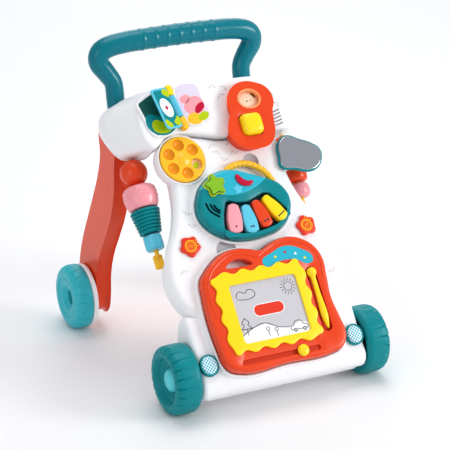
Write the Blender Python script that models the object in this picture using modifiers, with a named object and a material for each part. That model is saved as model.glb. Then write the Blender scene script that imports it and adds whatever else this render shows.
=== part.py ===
"""Baby push-along walker with an activity panel, a detachable piano and a detachable drawing board.

World frame: +Z up, the activity panel faces -Y, +X is to the right seen from the front, and the
origin is on the floor under the middle of the walker.  Everything on the activity panel is placed
in the panel frame: x across, s up the slope from the floor line, h out of the panel.
Lengths are written in millimetres and turned into metres by MM.
"""
import bpy
import bmesh
from math import cos, sin, pi, radians
from mathutils import Matrix, Vector

MM = 0.001
GAP = 0.4                       # clearance left between neighbouring pieces

# ---- overall size --------------------------------------------------------------------------
TOTAL_HEIGHT = 450.0
PANEL_TILT = radians(52.0)      # slope of the activity panel above the horizontal
PANEL_FOOT_Y = -249.0           # where the panel plane would meet the floor
CENTRING = 4.2                  # moves the whole walker back so that its box stands on the origin

# ---- wheels --------------------------------------------------------------------------------
WHEEL_RADIUS = 47.7
WHEELBASE_HALF = 162.3
FRONT_WHEEL_INNER = 127.0       # distance of the wheel's inner face from the middle
REAR_DISC_INNER = 136.0
REAR_WHEEL_INNER = 145.0
AXLE_RADIUS = 3.0
BORE_RADIUS = 3.35

# ---- body shells ---------------------------------------------------------------------------
WALL = 2.4
PANEL_FRONT_H = 0.0
PANEL_SPLIT_H = -15.0
WAIST_BACK_H = -29.0
HIP_BACK_H = -42.0
HEAD_FRONT_H = 8.0
HEAD_SPLIT_H = -45.0
BASE_HALF_WIDTH = 125.5

# ---- bead rods -----------------------------------------------------------------------------
ROD_X = 120.0
ROD_H = -43.0
ROD_RADIUS = 3.0
ROD_LOW_S = 262.0
ROD_HIGH_S = 405.4

# ---- removable toys ------------------------------------------------------------------------
PIANO_BACK_H = 0.6
PIANO_TOP_H = 17.0
BOARD_BACK_H = 0.6
BOARD_TOP_H = 16.0

# ---- colours: red, green, blue, roughness, metallic -----------------------------------------
COLOURS = {
    "white": (0.86, 0.86, 0.86, 0.30, 0.0),
    "teal": (0.0, 0.20, 0.24, 0.32, 0.0),
    "wheel_teal": (0.0, 0.25, 0.26, 0.45, 0.0),
    "light_teal": (0.03, 0.48, 0.55, 0.45, 0.0),
    "cyan": (0.10, 0.62, 0.68, 0.35, 0.0),
    "orange": (0.80, 0.07, 0.01, 0.32, 0.0),
    "light_blue": (0.13, 0.58, 0.75, 0.35, 0.0),
    "yellow": (1.0, 0.72, 0.01, 0.32, 0.0),
    "amber": (1.0, 0.55, 0.03, 0.35, 0.0),
    "pink": (0.95, 0.38, 0.42, 0.38, 0.0),
    "green": (0.26, 0.52, 0.02, 0.35, 0.0),
    "red": (0.79, 0.05, 0.02, 0.35, 0.0),
    "grey": (0.66, 0.66, 0.68, 0.45, 0.0),
    "paper": (0.75, 0.75, 0.70, 0.60, 0.0),
    "mirror": (0.90, 0.90, 0.92, 0.05, 1.0),
    "steel": (0.60, 0.60, 0.62, 0.30, 1.0),
    "black": (0.02, 0.02, 0.02, 0.50, 0.0),
}


def clear_scene():
    for obj in list(bpy.data.objects):
        bpy.data.objects.remove(obj, do_unlink=True)


clear_scene()
PARTS = bpy.data.collections.new("baby_walker")
CUTTERS = bpy.data.collections.new("cutters")
bpy.context.scene.collection.children.link(PARTS)
bpy.context.scene.collection.children.link(CUTTERS)


# ---- frames --------------------------------------------------------------------------------
def panel_matrix():
    """Panel frame in the world: x across, s up the slope, h along the outward normal."""
    up = Vector((0.0, cos(PANEL_TILT), sin(PANEL_TILT)))
    out = Vector((0.0, -sin(PANEL_TILT), cos(PANEL_TILT)))
    matrix = Matrix.Identity(4)
    matrix.col[1] = up.to_4d()
    matrix.col[1][3] = 0.0
    matrix.col[2] = out.to_4d()
    matrix.col[2][3] = 0.0
    matrix.col[3] = Vector((0.0, PANEL_FOOT_Y * MM, 0.0, 1.0))
    return matrix


def make_panel_frame():
    empty = bpy.data.objects.new("panel_frame", None)
    PARTS.objects.link(empty)
    empty.matrix_world = panel_matrix()
    return empty


PANEL = make_panel_frame()
ALONG_SLOPE = (radians(-90), 0.0, 0.0)      # turns a piece's own Z axis up the slope
SIDE_ON = (radians(90), 0.0, radians(90))   # turns an outline drawn in x, y into the Y-Z plane
TO_RIGHT = (0.0, radians(90), 0.0)          # turns a piece's own Z axis to +X
TO_LEFT = (0.0, radians(-90), 0.0)          # turns a piece's own Z axis to -X


def metres(point):
    return Vector(point) * MM


# ---- materials and objects -----------------------------------------------------------------
def material_for(name, colour):
    red, green, blue, roughness, metallic = COLOURS[colour]
    material = bpy.data.materials.new(name)
    material.use_nodes = True
    shader = material.node_tree.nodes["Principled BSDF"]
    shader.inputs["Base Color"].default_value = (red, green, blue, 1.0)
    shader.inputs["Roughness"].default_value = roughness
    shader.inputs["Metallic"].default_value = metallic
    material.diffuse_color = (red, green, blue, 1.0)
    return material


def place(name, mesh, colour, at=(0, 0, 0), turn=(0, 0, 0), parent=None):
    """A named part in the walker's collection, at a place given in its parent's frame."""
    obj = bpy.data.objects.new(name, mesh)
    PARTS.objects.link(obj)
    obj.parent = parent
    obj.location = metres(at)
    obj.rotation_euler = turn
    if not mesh.materials:
        mesh.materials.append(material_for(name, colour))
    return obj


def place_cutter(name, mesh, at=(0, 0, 0), turn=(0, 0, 0), parent=None):
    obj = bpy.data.objects.new(name, mesh)
    CUTTERS.objects.link(obj)
    obj.parent = parent
    obj.location = metres(at)
    obj.rotation_euler = turn
    obj.hide_render = True
    obj.display_type = "WIRE"
    return obj


def cut(obj, cutter):
    modifier = obj.modifiers.new("cut_" + cutter.name, "BOOLEAN")
    modifier.operation = "DIFFERENCE"
    modifier.object = cutter
    modifier.solver = "EXACT"


def join(obj, piece):
    modifier = obj.modifiers.new("join_" + piece.name, "BOOLEAN")
    modifier.operation = "UNION"
    modifier.object = piece
    modifier.solver = "EXACT"


def thicken(obj, wall=WALL):
    modifier = obj.modifiers.new("wall", "SOLIDIFY")
    modifier.thickness = wall * MM
    modifier.offset = -1.0
    modifier.use_even_offset = True


def evaluated_mesh(obj):
    bpy.context.view_layer.update()
    graph = bpy.context.evaluated_depsgraph_get()
    return bpy.data.meshes.new_from_object(obj.evaluated_get(graph))


def baked(obj):
    """The object with its modifiers made real, so that it can be shelled afterwards."""
    mesh = evaluated_mesh(obj)
    obj.modifiers.clear()
    obj.data = mesh
    return obj


def welded(mesh, distance=1e-6):
    bm = bmesh.new()
    bm.from_mesh(mesh)
    bmesh.ops.remove_doubles(bm, verts=bm.verts, dist=distance)
    bm.to_mesh(mesh)
    bm.free()
    return mesh


# ---- shape makers --------------------------------------------------------------------------
def curve_to_mesh(curve):
    obj = bpy.data.objects.new("curve_guide", curve)
    CUTTERS.objects.link(obj)
    mesh = evaluated_mesh(obj)
    bpy.data.objects.remove(obj, do_unlink=True)
    return welded(mesh)


def add_spline(curve, points, smooth, closed=True):
    spline = curve.splines.new("BEZIER" if smooth else "POLY")
    count = len(points) - 1
    if smooth:
        spline.bezier_points.add(count)
        for knot, point in zip(spline.bezier_points, points):
            knot.co = metres((point[0], point[1], point[2] if len(point) > 2 else 0.0))
            knot.handle_left_type = "AUTO"
            knot.handle_right_type = "AUTO"
    else:
        spline.points.add(count)
        for knot, point in zip(spline.points, points):
            height = point[2] if len(point) > 2 else 0.0
            knot.co = metres((point[0], point[1], height)).to_4d()
    spline.use_cyclic_u = closed
    return spline


def flat_solid(outline, low, high, rim=0.0, segments=2, smooth=True, holes=(), steps=2, back=0.0):
    """A solid over a closed outline from height low to high, its upper (and lower) edge rounded."""
    curve = bpy.data.curves.new("outline", "CURVE")
    curve.dimensions = "2D"
    curve.fill_mode = "BOTH"
    curve.extrude = (high - low) * MM / 2
    curve.resolution_u = steps
    add_spline(curve, outline, smooth)
    for hole in holes:
        add_spline(curve, hole, smooth)
    mesh = curve_to_mesh(curve)
    bm = bmesh.new()
    bm.from_mesh(mesh)
    bmesh.ops.translate(bm, verts=bm.verts, vec=(0, 0, (high + low) * MM / 2))
    if not holes:
        bmesh.ops.dissolve_limit(bm, angle_limit=radians(0.5), verts=bm.verts, edges=bm.edges)
    round_rim(bm, high, rim, segments)
    round_rim(bm, low, back, segments)
    bmesh.ops.recalc_face_normals(bm, faces=bm.faces)
    bm.to_mesh(mesh)
    bm.free()
    return mesh


def round_rim(bm, height, radius, segments):
    """Rounds the edges where the walls meet the flat face at one height."""
    if radius <= 0:
        return
    level = height * MM

    def on_level(edge):
        flat = all(abs(v.co.z - level) < 1e-6 for v in edge.verts)
        return flat and any(abs(f.normal.z) < 0.5 for f in edge.link_faces)

    bm.normal_update()
    rim = [edge for edge in bm.edges if on_level(edge)]
    bmesh.ops.bevel(bm, geom=rim, offset=radius * MM, segments=segments, profile=0.5,
                    affect="EDGES", clamp_overlap=True)


def open_back(mesh, level):
    """Takes away the flat face at one height, so that the solid becomes an open surface."""
    bm = bmesh.new()
    bm.from_mesh(mesh)
    flat = [f for f in bm.faces if all(abs(v.co.z - level * MM) < 1e-6 for v in f.verts)]
    bmesh.ops.delete(bm, geom=flat, context="FACES")
    bm.to_mesh(mesh)
    bm.free()
    return mesh


def turned(name, profile, colour, steps=20, at=(0, 0, 0), turn=(0, 0, 0), parent=None, ring=False):
    """A piece turned about its own Z axis from a profile of (radius, height) running top to bottom."""
    bm = bmesh.new()
    verts = [bm.verts.new(metres((radius, 0.0, height))) for radius, height in profile]
    for first, second in zip(verts, verts[1:]):
        bm.edges.new((first, second))
    if ring:
        bm.edges.new((verts[-1], verts[0]))
    mesh = bpy.data.meshes.new(name)
    bm.to_mesh(mesh)
    bm.free()
    obj = place(name, mesh, colour, at, turn, parent)
    screw = obj.modifiers.new("turn", "SCREW")
    screw.axis = "Z"
    screw.steps = steps
    screw.render_steps = steps
    screw.use_merge_vertices = True
    screw.merge_threshold = 1e-6
    screw.use_normal_calculate = False
    return obj


def cylinder_mesh(radius, low, high, sides=20):
    bm = bmesh.new()
    middle = Matrix.Translation((0, 0, (low + high) * MM / 2))
    bmesh.ops.create_cone(bm, cap_ends=True, segments=sides, radius1=radius * MM,
                          radius2=radius * MM, depth=(high - low) * MM, matrix=middle)
    mesh = bpy.data.meshes.new("cylinder")
    bm.to_mesh(mesh)
    bm.free()
    return mesh


def box_mesh(size_x, size_y, size_z, soften=0.0, centre=(0, 0, 0)):
    bm = bmesh.new()
    bmesh.ops.create_cube(bm, size=1.0)
    bmesh.ops.scale(bm, vec=metres((size_x, size_y, size_z)), verts=bm.verts)
    if soften:
        bmesh.ops.bevel(bm, geom=bm.edges[:], offset=soften * MM, segments=2, profile=0.5,
                        affect="EDGES")
    bmesh.ops.translate(bm, vec=metres(centre), verts=bm.verts)
    mesh = bpy.data.meshes.new("box")
    bm.to_mesh(mesh)
    bm.free()
    return mesh


def tube_mesh(points, radii, sides_level=3, steps=4):
    """A round tube along smooth knots, with its own radius at each knot."""
    curve = bpy.data.curves.new("tube", "CURVE")
    curve.dimensions = "3D"
    curve.resolution_u = steps
    curve.bevel_depth = MM
    curve.bevel_resolution = sides_level
    curve.use_fill_caps = True
    spline = add_spline(curve, points, smooth=True, closed=False)
    for knot, radius in zip(spline.bezier_points, radii):
        knot.radius = radius
    return curve_to_mesh(curve)


def mirrored(points):
    """A closed outline from its right half, listed from the bottom middle to the top middle."""
    left = [(-x, y) for x, y in reversed(points) if x > 0.01]
    return list(points) + left


def ellipse(centre, half_x, half_y, count, tilt=0.0):
    x0, y0 = centre
    ring = []
    for index in range(count):
        angle = 2 * pi * index / count
        x, y = half_x * cos(angle), half_y * sin(angle)
        ring.append((x0 + x * cos(tilt) - y * sin(tilt), y0 + x * sin(tilt) + y * cos(tilt)))
    return ring


def rounded_box(x0, x1, y0, y1, radius, steps=3):
    """A rectangle outline with arcs in its corners."""
    corners = [(x1 - radius, y1 - radius, 0), (x0 + radius, y1 - radius, 90),
               (x0 + radius, y0 + radius, 180), (x1 - radius, y0 + radius, 270)]
    outline = []
    for cx, cy, start in corners:
        for step in range(steps + 1):
            angle = radians(start + 90.0 * step / steps)
            outline.append((cx + radius * cos(angle), cy + radius * sin(angle)))
    return outline


def grown(outline, distance):
    """A closed outline moved outwards (counter-clockwise order) by a distance."""
    result = []
    count = len(outline)
    for index, (x, y) in enumerate(outline):
        before = Vector(outline[index - 1])
        after = Vector(outline[(index + 1) % count])
        along = (after - before).normalized()
        result.append((x + along.y * distance, y - along.x * distance))
    return result


# ---- body shells ---------------------------------------------------------------------------
# Right flank of the body from the bottom middle up, and the top edge that meets the head.
BODY_FLANK = [(0, 150.5), (55, 150.5), (98, 152.5), (112, 164), (124, 182), (130, 205), (130, 228),
              (122, 255), (106, 284), (94, 315), (88.5, 345), (88, 372), (88.5, 390)]
HEAD_LEDGE = [(85.5, 397), (80, 398.6), (62, 399.4), (30, 400.4), (0, 402.4), (-22, 408.2),
              (-44, 413.2), (-64, 414), (-76, 411), (-86, 402.5)]
BODY_OUTLINE = BODY_FLANK + HEAD_LEDGE + [(-x, s) for x, s in reversed(BODY_FLANK[1:])]
HIP_BACK_OUTLINE = mirrored([(0, 152), (55, 152), (96, 154), (110, 166), (122, 184), (128, 205),
                             (128, 226), (120, 247), (108, 255), (94, 257), (40, 257), (0, 257)])
WAIST_FLANK = [(0, 259.8), (60, 259.8), (92, 260), (102, 262), (106, 268), (98, 296),
               (91, 318), (86.5, 345), (86, 372), (86.5, 390)]
WAIST_BACK_OUTLINE = (WAIST_FLANK + [(83.5, 398)] + HEAD_LEDGE[1:-1] + [(-84.5, 404)]
                      + [(-x, s) for x, s in reversed(WAIST_FLANK[1:])])


def panel_shell():
    mesh = flat_solid(BODY_OUTLINE, PANEL_SPLIT_H, PANEL_FRONT_H, rim=10.0, segments=3)
    open_back(mesh, PANEL_SPLIT_H)
    shell = place("panel_shell", mesh, "white", parent=PANEL)
    thicken(shell)


def hip_cover():
    mesh = flat_solid(HIP_BACK_OUTLINE, HIP_BACK_H, PANEL_SPLIT_H - GAP, back=12.0, segments=3)
    open_back(mesh, PANEL_SPLIT_H - GAP)
    shell = place("hip_cover", mesh, "white", parent=PANEL)
    thicken(shell)


def waist_cover():
    mesh = flat_solid(WAIST_BACK_OUTLINE, WAIST_BACK_H, PANEL_SPLIT_H - GAP, back=7.0, segments=2)
    open_back(mesh, PANEL_SPLIT_H - GAP)
    shell = place("waist_cover", mesh, "white", parent=PANEL)
    thicken(shell)


# Edge of the head's front face and its widest outline, point for point from the left lobe.
HEAD_FRONT_EDGE = [(-103, 401), (-92, 405), (-80, 414), (-64, 416), (-44, 415), (-22, 410),
                   (0, 404), (30, 402), (62, 401), (90, 400), (103, 400), (110, 408), (113, 424),
                   (113, 446), (110, 464), (101, 478), (80, 484), (45, 486), (0, 486),
                   (-45, 486), (-80, 484), (-101, 478), (-111, 464), (-114, 446), (-114, 424),
                   (-110, 409)]
HEAD_WIDE_EDGE = [(-121, 407), (-97, 405.5), (-80, 414), (-64, 416), (-44, 415), (-22, 410),
                  (0, 404), (30, 402), (62, 401), (97, 403), (121, 407), (134, 413), (142, 429),
                  (143, 452), (137, 472), (120, 487), (92, 496), (50, 499), (0, 500), (-50, 499),
                  (-92, 496), (-120, 487), (-137, 472), (-143, 452), (-142, 429), (-134, 413)]
HEAD_MIDDLE_S = 457.0
# Front sections: height h and share of the front edge; back sections: h, scales and middle s.
HEAD_FRONT_BLENDS = [(HEAD_SPLIT_H, 0.0), (-40, 0.0), (-25, 0.25), (-8, 0.68), (3, 1.0)]
HEAD_BACK_SCALES = [(HEAD_SPLIT_H - GAP, 1.0, 1.0, 457.0), (-49, 1.0, 1.0, 457.0),
                    (-65, 0.993, 0.824, 467.6), (-82, 0.944, 0.669, 473.2),
                    (-95, 0.853, 0.524, 475.5), (-102, 0.741, 0.337, 474.5)]


def blended(first, second, share):
    return [(x0 + (x1 - x0) * share, y0 + (y1 - y0) * share)
            for (x0, y0), (x1, y1) in zip(first, second)]


def head_front_rings():
    rings = [(height, blended(HEAD_WIDE_EDGE, HEAD_FRONT_EDGE, share))
             for height, share in HEAD_FRONT_BLENDS]
    rings.append((6.5, grown(HEAD_FRONT_EDGE, -2.0)))
    rings.append((HEAD_FRONT_H, grown(HEAD_FRONT_EDGE, -5.5)))
    return rings


def head_back_rings():
    rings = []
    for height, scale_x, scale_s, middle in HEAD_BACK_SCALES:
        ring = [(x * scale_x, middle + (s - HEAD_MIDDLE_S) * scale_s) for x, s in HEAD_WIDE_EDGE]
        rings.append((height, ring))
    return rings


def lofted_cap(outlines):
    """A bowl through stacked outlines, closed at its last one and open at its first."""
    bm = bmesh.new()
    rings = [[bm.verts.new(metres((x, s, height))) for x, s in outline]
             for height, outline in outlines]
    for lower, upper in zip(rings, rings[1:]):
        for index in range(len(lower)):
            following = (index + 1) % len(lower)
            bm.faces.new((lower[index], lower[following], upper[following], upper[index]))
    bm.faces.new(rings[-1])
    mesh = bpy.data.meshes.new("bowl")
    bm.to_mesh(mesh)
    bm.free()
    return mesh


def oriented_outwards(mesh, inside):
    """Turns the faces of an open bowl so that they look away from a point inside it."""
    bm = bmesh.new()
    bm.from_mesh(mesh)
    bm.normal_update()
    point = metres(inside)
    wrong = [f for f in bm.faces if f.normal.dot(f.calc_center_median() - point) < 0]
    if len(wrong) > len(bm.faces) / 2:
        bmesh.ops.reverse_faces(bm, faces=bm.faces)
    bm.to_mesh(mesh)
    bm.free()
    return mesh


HANDLE_LEG_LOW = (100.0, 120.0, 334.0)
HANDLE_LEG_HIGH = (101.5, 128.0, 376.0)
HANDLE_LEG_RADIUS = 13.0
LEG_INNER_X = 111.0
LEG_OUTER_X = 134.5

LEG_OUTLINE = [(98, 322), (100, 280), (110, 248), (130, 208), (152, 168), (172, 130), (185, 95),
               (189.5, 62), (183, 34), (163, 21.5), (144, 30), (137, 52), (134, 88), (122, 123),
               (100, 160), (78, 198), (66, 232), (62, 272), (66, 320)]


def head_front():
    mesh = oriented_outwards(lofted_cap(head_front_rings()), (0, 455, HEAD_SPLIT_H))
    shell = place("head_front", mesh, "white", parent=PANEL)
    thicken(shell)


def head_back():
    mesh = oriented_outwards(lofted_cap(head_back_rings()), (0, 465, HEAD_SPLIT_H))
    shell = place("head_back", mesh, "white", parent=PANEL)
    thicken(shell)
    low, high = Vector(HANDLE_LEG_LOW), Vector(HANDLE_LEG_HIGH)
    for side, label in ((-1, "left"), (1, "right")):
        start = Vector((side * low.x, low.y, low.z))
        end = Vector((side * high.x, high.y, high.z))
        direction = end - start
        start = start - direction.normalized() * 3.0
        socket = cylinder_mesh(HANDLE_LEG_RADIUS + 0.8, 0.0, direction.length + 20.0, sides=24)
        turn = direction.to_track_quat("Z", "Y").to_euler()
        cut(shell, place_cutter("handle_socket_" + label, socket, start, turn))
        blade = flat_solid(grown(LEG_OUTLINE, -0.6), -(LEG_OUTER_X - LEG_INNER_X) / 2 - 0.6,
                           (LEG_OUTER_X - LEG_INNER_X) / 2 + 0.6)
        middle = side * (LEG_OUTER_X + LEG_INNER_X) / 2
        cut(shell, place_cutter("leg_socket_" + label, blade, (middle, 0, 0), SIDE_ON))


def rear_leg(side, label):
    half = (LEG_OUTER_X - LEG_INNER_X) / 2
    mesh = flat_solid(LEG_OUTLINE, -half, half, rim=5.0, back=5.0, segments=2)
    middle = side * (LEG_OUTER_X + LEG_INNER_X) / 2
    leg = place("rear_leg_" + label, mesh, "orange", (middle, 0, 0), SIDE_ON)
    hole = cylinder_mesh(AXLE_RADIUS + GAP, 0.0, 40.0)
    turn = TO_RIGHT if side > 0 else TO_LEFT
    start = (side * (LEG_OUTER_X - 15), WHEELBASE_HALF, WHEEL_RADIUS)
    cut(leg, place_cutter("axle_hole_" + label, hole, start, turn))


def handle():
    """Push handle: two legs that step outwards, and a gently arched grip between them."""
    half = [HANDLE_LEG_LOW, (100.7, 123.6, 353.0), HANDLE_LEG_HIGH, (110, 131, 391),
            (120.5, 133, 407), (118.5, 133.5, 421), (104, 133.5, 429), (78, 133.5, 432.2),
            (42, 133, 433.6)]
    radii = [13.0, 13.0, 13.1, 13.8, 14.6, 15.0, 15.2, 15.2, 15.2]
    right = [tuple(point) for point in half]
    left = [(-x, y, z) for x, y, z in half]
    points = left + [(0.0, 133.0, TOTAL_HEIGHT - 16.0)] + right[::-1]
    mesh = tube_mesh(points, radii + [15.8] + radii[::-1], sides_level=3, steps=2)
    top = max(v.co.z for v in mesh.vertices)
    for vertex in mesh.vertices:
        vertex.co.z += (TOTAL_HEIGHT * MM - top) * max(0.0, (vertex.co.z - 0.38) / (top - 0.38))
    place("handle", mesh, "teal")


BASE_PROFILE = [(-152, 119), (-163, 104.9), (-185, 76.8), (-198.5, 59.3), (-206.5, 47), (-205.5, 33.5),
                (-197, 25.5), (-180, 22), (-135, 22), (-122, 30), (-118, 50), (-119, 85),
                (-124, 111), (-133, 121), (-141, 124), (-147.5, 122.5)]


def base_shell():
    """Front axle housing under the panel's apron, open underneath, with the axle's two holes."""
    mesh = flat_solid(BASE_PROFILE, -BASE_HALF_WIDTH, BASE_HALF_WIDTH, rim=7.0, back=7.0,
                      segments=2)
    shell = place("base_shell", mesh, "white", turn=SIDE_ON)
    apron = flat_solid(grown(BODY_OUTLINE, 0.6), -70.0, 40.0)
    cut(shell, place_cutter("apron", apron, parent=PANEL))
    baked(shell)
    bm = bmesh.new()
    bm.from_mesh(shell.data)
    bmesh.ops.bisect_plane(bm, geom=bm.verts[:] + bm.edges[:] + bm.faces[:],
                           plane_co=(0, 26.0 * MM, 0), plane_no=(0, -1, 0), clear_outer=True)
    bm.to_mesh(shell.data)
    bm.free()
    thicken(shell)
    hole = cylinder_mesh(AXLE_RADIUS + GAP, -140.0, 140.0)
    centre = (0, -WHEELBASE_HALF, WHEEL_RADIUS)
    cut(shell, place_cutter("front_axle_hole", hole, centre, TO_RIGHT))


def base_cover():
    """Flat cover under the axle housing."""
    outline = rounded_box(-118.0, 118.0, -194.0, -131.0, 8.0)
    mesh = flat_solid(outline, 22.0, 25.4, smooth=False)
    place("base_cover", mesh, "white")


# ---- wheels --------------------------------------------------------------------------------
FRONT_TYRE = [(24, 24), (30, 30), (34, 37), (41, 36.4), (46, 32.5), (47.7, 26), (47.7, 9),
              (46, 2.6), (41.5, 0), (37, 0.4), (34.5, 15), (9, 15), (9, 1), (BORE_RADIUS, 1),
              (BORE_RADIUS, 24)]
FRONT_CAP = [(0, 33), (9, 32.6), (14, 30.4), (16.5, 27), (16.5, 24.6), (0, 24.6)]
REAR_TYRE = [(11, 18), (18, 21.5), (32, 25), (40, 24.2), (45.8, 20), (47.7, 13), (47.7, 4),
             (46.4, 0.3), (BORE_RADIUS, 0.3), (BORE_RADIUS, 8), (11, 8)]
REAR_DISC = [(BORE_RADIUS, 8.7), (44, 8.7), (46.6, 7), (46.6, 2.2), (44, 0), (BORE_RADIUS, 0)]
REAR_AXLE = [(0, 21.5), (6.5, 20.5), (7, 17.4), (AXLE_RADIUS, 17.4), (AXLE_RADIUS, -13), (0, -13)]


def wheels():
    for side, label, turn in ((-1, "left", TO_LEFT), (1, "right", TO_RIGHT)):
        front = (side * FRONT_WHEEL_INNER, -WHEELBASE_HALF, WHEEL_RADIUS)
        turned("front_tyre_" + label, FRONT_TYRE, "wheel_teal", 20, front, turn, ring=True)
        turned("front_cap_" + label, FRONT_CAP, "cyan", 20, front, turn)
        rear = (side * REAR_WHEEL_INNER, WHEELBASE_HALF, WHEEL_RADIUS)
        turned("rear_tyre_" + label, REAR_TYRE, "light_teal", 20, rear, turn, ring=True)
        disc = (side * REAR_DISC_INNER, WHEELBASE_HALF, WHEEL_RADIUS)
        turned("rear_disc_" + label, REAR_DISC, "white", 20, disc, turn, ring=True)
        turned("rear_axle_" + label, REAR_AXLE, "steel", 16, disc, turn)


def front_axle():
    mesh = cylinder_mesh(AXLE_RADIUS, -(FRONT_WHEEL_INNER + 23.5), FRONT_WHEEL_INNER + 23.5, 16)
    centre = (0, -WHEELBASE_HALF, WHEEL_RADIUS)
    place("front_axle", mesh, "steel", centre, TO_RIGHT)


# ---- trim on the panel ---------------------------------------------------------------------
def petal_outline(radius_out, radius_in, count, phase=0.0, petals=4):
    ring = []
    for index in range(count):
        angle = 2 * pi * index / count
        wave = 0.5 + 0.5 * cos(petals * (angle - phase))
        radius = radius_in + (radius_out - radius_in) * wave
        ring.append((radius * cos(angle), radius * sin(angle)))
    return ring


def badges_and_lamps():
    for side, label in ((-1, "left"), (1, "right")):
        petals = petal_outline(17.0, 12.0, 16, phase=pi / 2)
        badge = flat_solid(petals, 0.0, 3.6, rim=1.2, segments=1, steps=2)
        place("badge_" + label, badge, "red", (side * 89.5, 257.0, GAP), parent=PANEL)
        lamp = flat_solid(ellipse((0, 0), 13.5, 15.0, 12), 0.0, 3.0, rim=1.0, segments=1, steps=2)
        place("headlight_" + label, lamp, "cyan", (side * 111.5, 92.5, GAP), parent=PANEL)


# ---- cup wheel -----------------------------------------------------------------------------
CUP_WHEEL_CENTRE = (-64.5, 379.5)


def cup_wheel():
    """Spinning disc with a window, on a pin that stands on the panel."""
    outline = ellipse((0, 0), 33.0, 33.0, 12)
    bore = ellipse((0, 0), 3.4, 3.4, 8)
    window = ellipse((18.5, -9.5), 8.0, 8.0, 8)
    mesh = flat_solid(outline, 0.0, 5.5, rim=0.8, segments=1, holes=(bore, window), steps=2)
    centre = (*CUP_WHEEL_CENTRE, GAP)
    place("cup_wheel", mesh, "amber", centre, parent=PANEL)
    pin = [(0, 7.6), (5.0, 7.2), (5.5, 6.0), (3.0, 6.0), (3.0, 0.0), (0, 0.0)]
    turned("cup_wheel_pin", pin, "amber", 14, centre, parent=PANEL)


# ---- book ----------------------------------------------------------------------------------
SPINE_LOW = Vector((-51.0, 421.0))
SPINE_HIGH = Vector((-61.0, 485.0))
SPINE_H = HEAD_FRONT_H + 6.8
PAGE_LIFT = radians(19.0)
PAGE_WIDTH = 34.0
KNUCKLE = 16.0                  # length of each fixed hinge knuckle


def spine_frame():
    """Object turn that puts a piece's own Y axis along the book's spine."""
    along = (SPINE_HIGH - SPINE_LOW).normalized()
    return (0.0, 0.0, -radians(90) + along.angle_signed(Vector((1.0, 0.0))))


def book():
    """Two printed leaves on the head with the turning page's hinge between them."""
    length = (SPINE_HIGH - SPINE_LOW).length
    middle = (SPINE_LOW + SPINE_HIGH) / 2
    turn = spine_frame()
    base_at = (middle.x, middle.y, HEAD_FRONT_H + GAP)
    left = flat_solid([(-47, -33), (-7, -31), (-6.5, 0), (-7, 32), (-52, 24), (-53, 10)], 0.0, 2.8,
                      smooth=False)
    place("book_page_left", left, "paper", base_at, turn, PANEL)
    right = flat_solid([(7, -31.5), (47, -27.5), (46.5, 0), (45.5, 27), (7, 29)], 0.0, 2.8,
                       smooth=False)
    place("book_page_right", right, "paper", base_at, turn, PANEL)
    strip = box_mesh(9.0, length, 1.6, centre=(0, 0, 0.8))
    hinge = place("book_hinge", strip, "yellow", base_at, turn, PANEL)
    for end in (-1, 1):
        offset = end * (length / 2 - KNUCKLE / 2)
        drum = spine_piece("knuckle", cylinder_mesh(4.2, -KNUCKLE / 2, KNUCKLE / 2, 12), offset,
                           Matrix.Rotation(radians(-90), 4, "X"))
        join(hinge, drum)
        post = box_mesh(6.0, KNUCKLE, 6.0, centre=(0, 0, -3.4))
        join(hinge, spine_piece("knuckle_post", post, offset, Matrix.Identity(4)))
    flip_page(length)


def spine_matrix():
    """Frame on the book's spine axis, its Y axis along the spine."""
    middle = (SPINE_LOW + SPINE_HIGH) / 2
    return (Matrix.Translation(metres((middle.x, middle.y, SPINE_H)))
            @ Matrix.Rotation(spine_frame()[2], 4, "Z"))


def spine_piece(name, mesh, offset, own):
    piece = place_cutter(name, mesh, parent=PANEL)
    piece.matrix_local = spine_matrix() @ Matrix.Translation(metres((0, offset, 0))) @ own
    return piece


def flip_page(length):
    """Turning page with its hinge barrel; its origin is on the spine's axis."""
    sheet = box_mesh(PAGE_WIDTH - 5.0, length - 4.0, 2.4, centre=(-(PAGE_WIDTH + 5.0) / 2, 0, 0))
    page = place("book_flip_page", sheet, "teal", parent=PANEL)
    lift = Matrix.Rotation(PAGE_LIFT, 4, "Y")
    page.matrix_local = spine_matrix() @ lift
    reach = length / 2 - KNUCKLE - 0.5
    barrel = cylinder_mesh(4.2, -reach, reach, 12)
    join(page, spine_piece("barrel", barrel, 0.0, Matrix.Rotation(radians(-90), 4, "X")))
    web = box_mesh(6.0, reach * 2 - 2.0, 2.4, centre=(-4.5, 0, 0))
    join(page, spine_piece("page_web", web, 0.0, lift))


# ---- picture dial and press paddle ---------------------------------------------------------
DIAL_HOUSING = [(27, 455), (38, 465), (52, 468), (68, 464), (80, 456), (84, 441), (78, 426),
                (75, 410), (72, 394), (63, 381.5), (48, 377.5), (30, 379), (17, 389), (12, 402),
                (16, 416), (22, 428), (22, 443)]
DIAL_CENTRE = (52.5, 446.5)
PADDLE_CENTRE = (44.5, 409.0)
HOUSING_TOP_H = 21.0
DIAL_H = 12.0
DIAL_RADIUS = 15.0
DIAL_TAB_REACH = 33.5


def sector(reach, start, end, steps):
    """A pie slice about the origin between two angles in degrees."""
    outline = [(0.0, 0.0)]
    for step in range(steps + 1):
        angle = radians(start + (end - start) * step / steps)
        outline.append((reach * cos(angle), reach * sin(angle)))
    return outline


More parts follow.
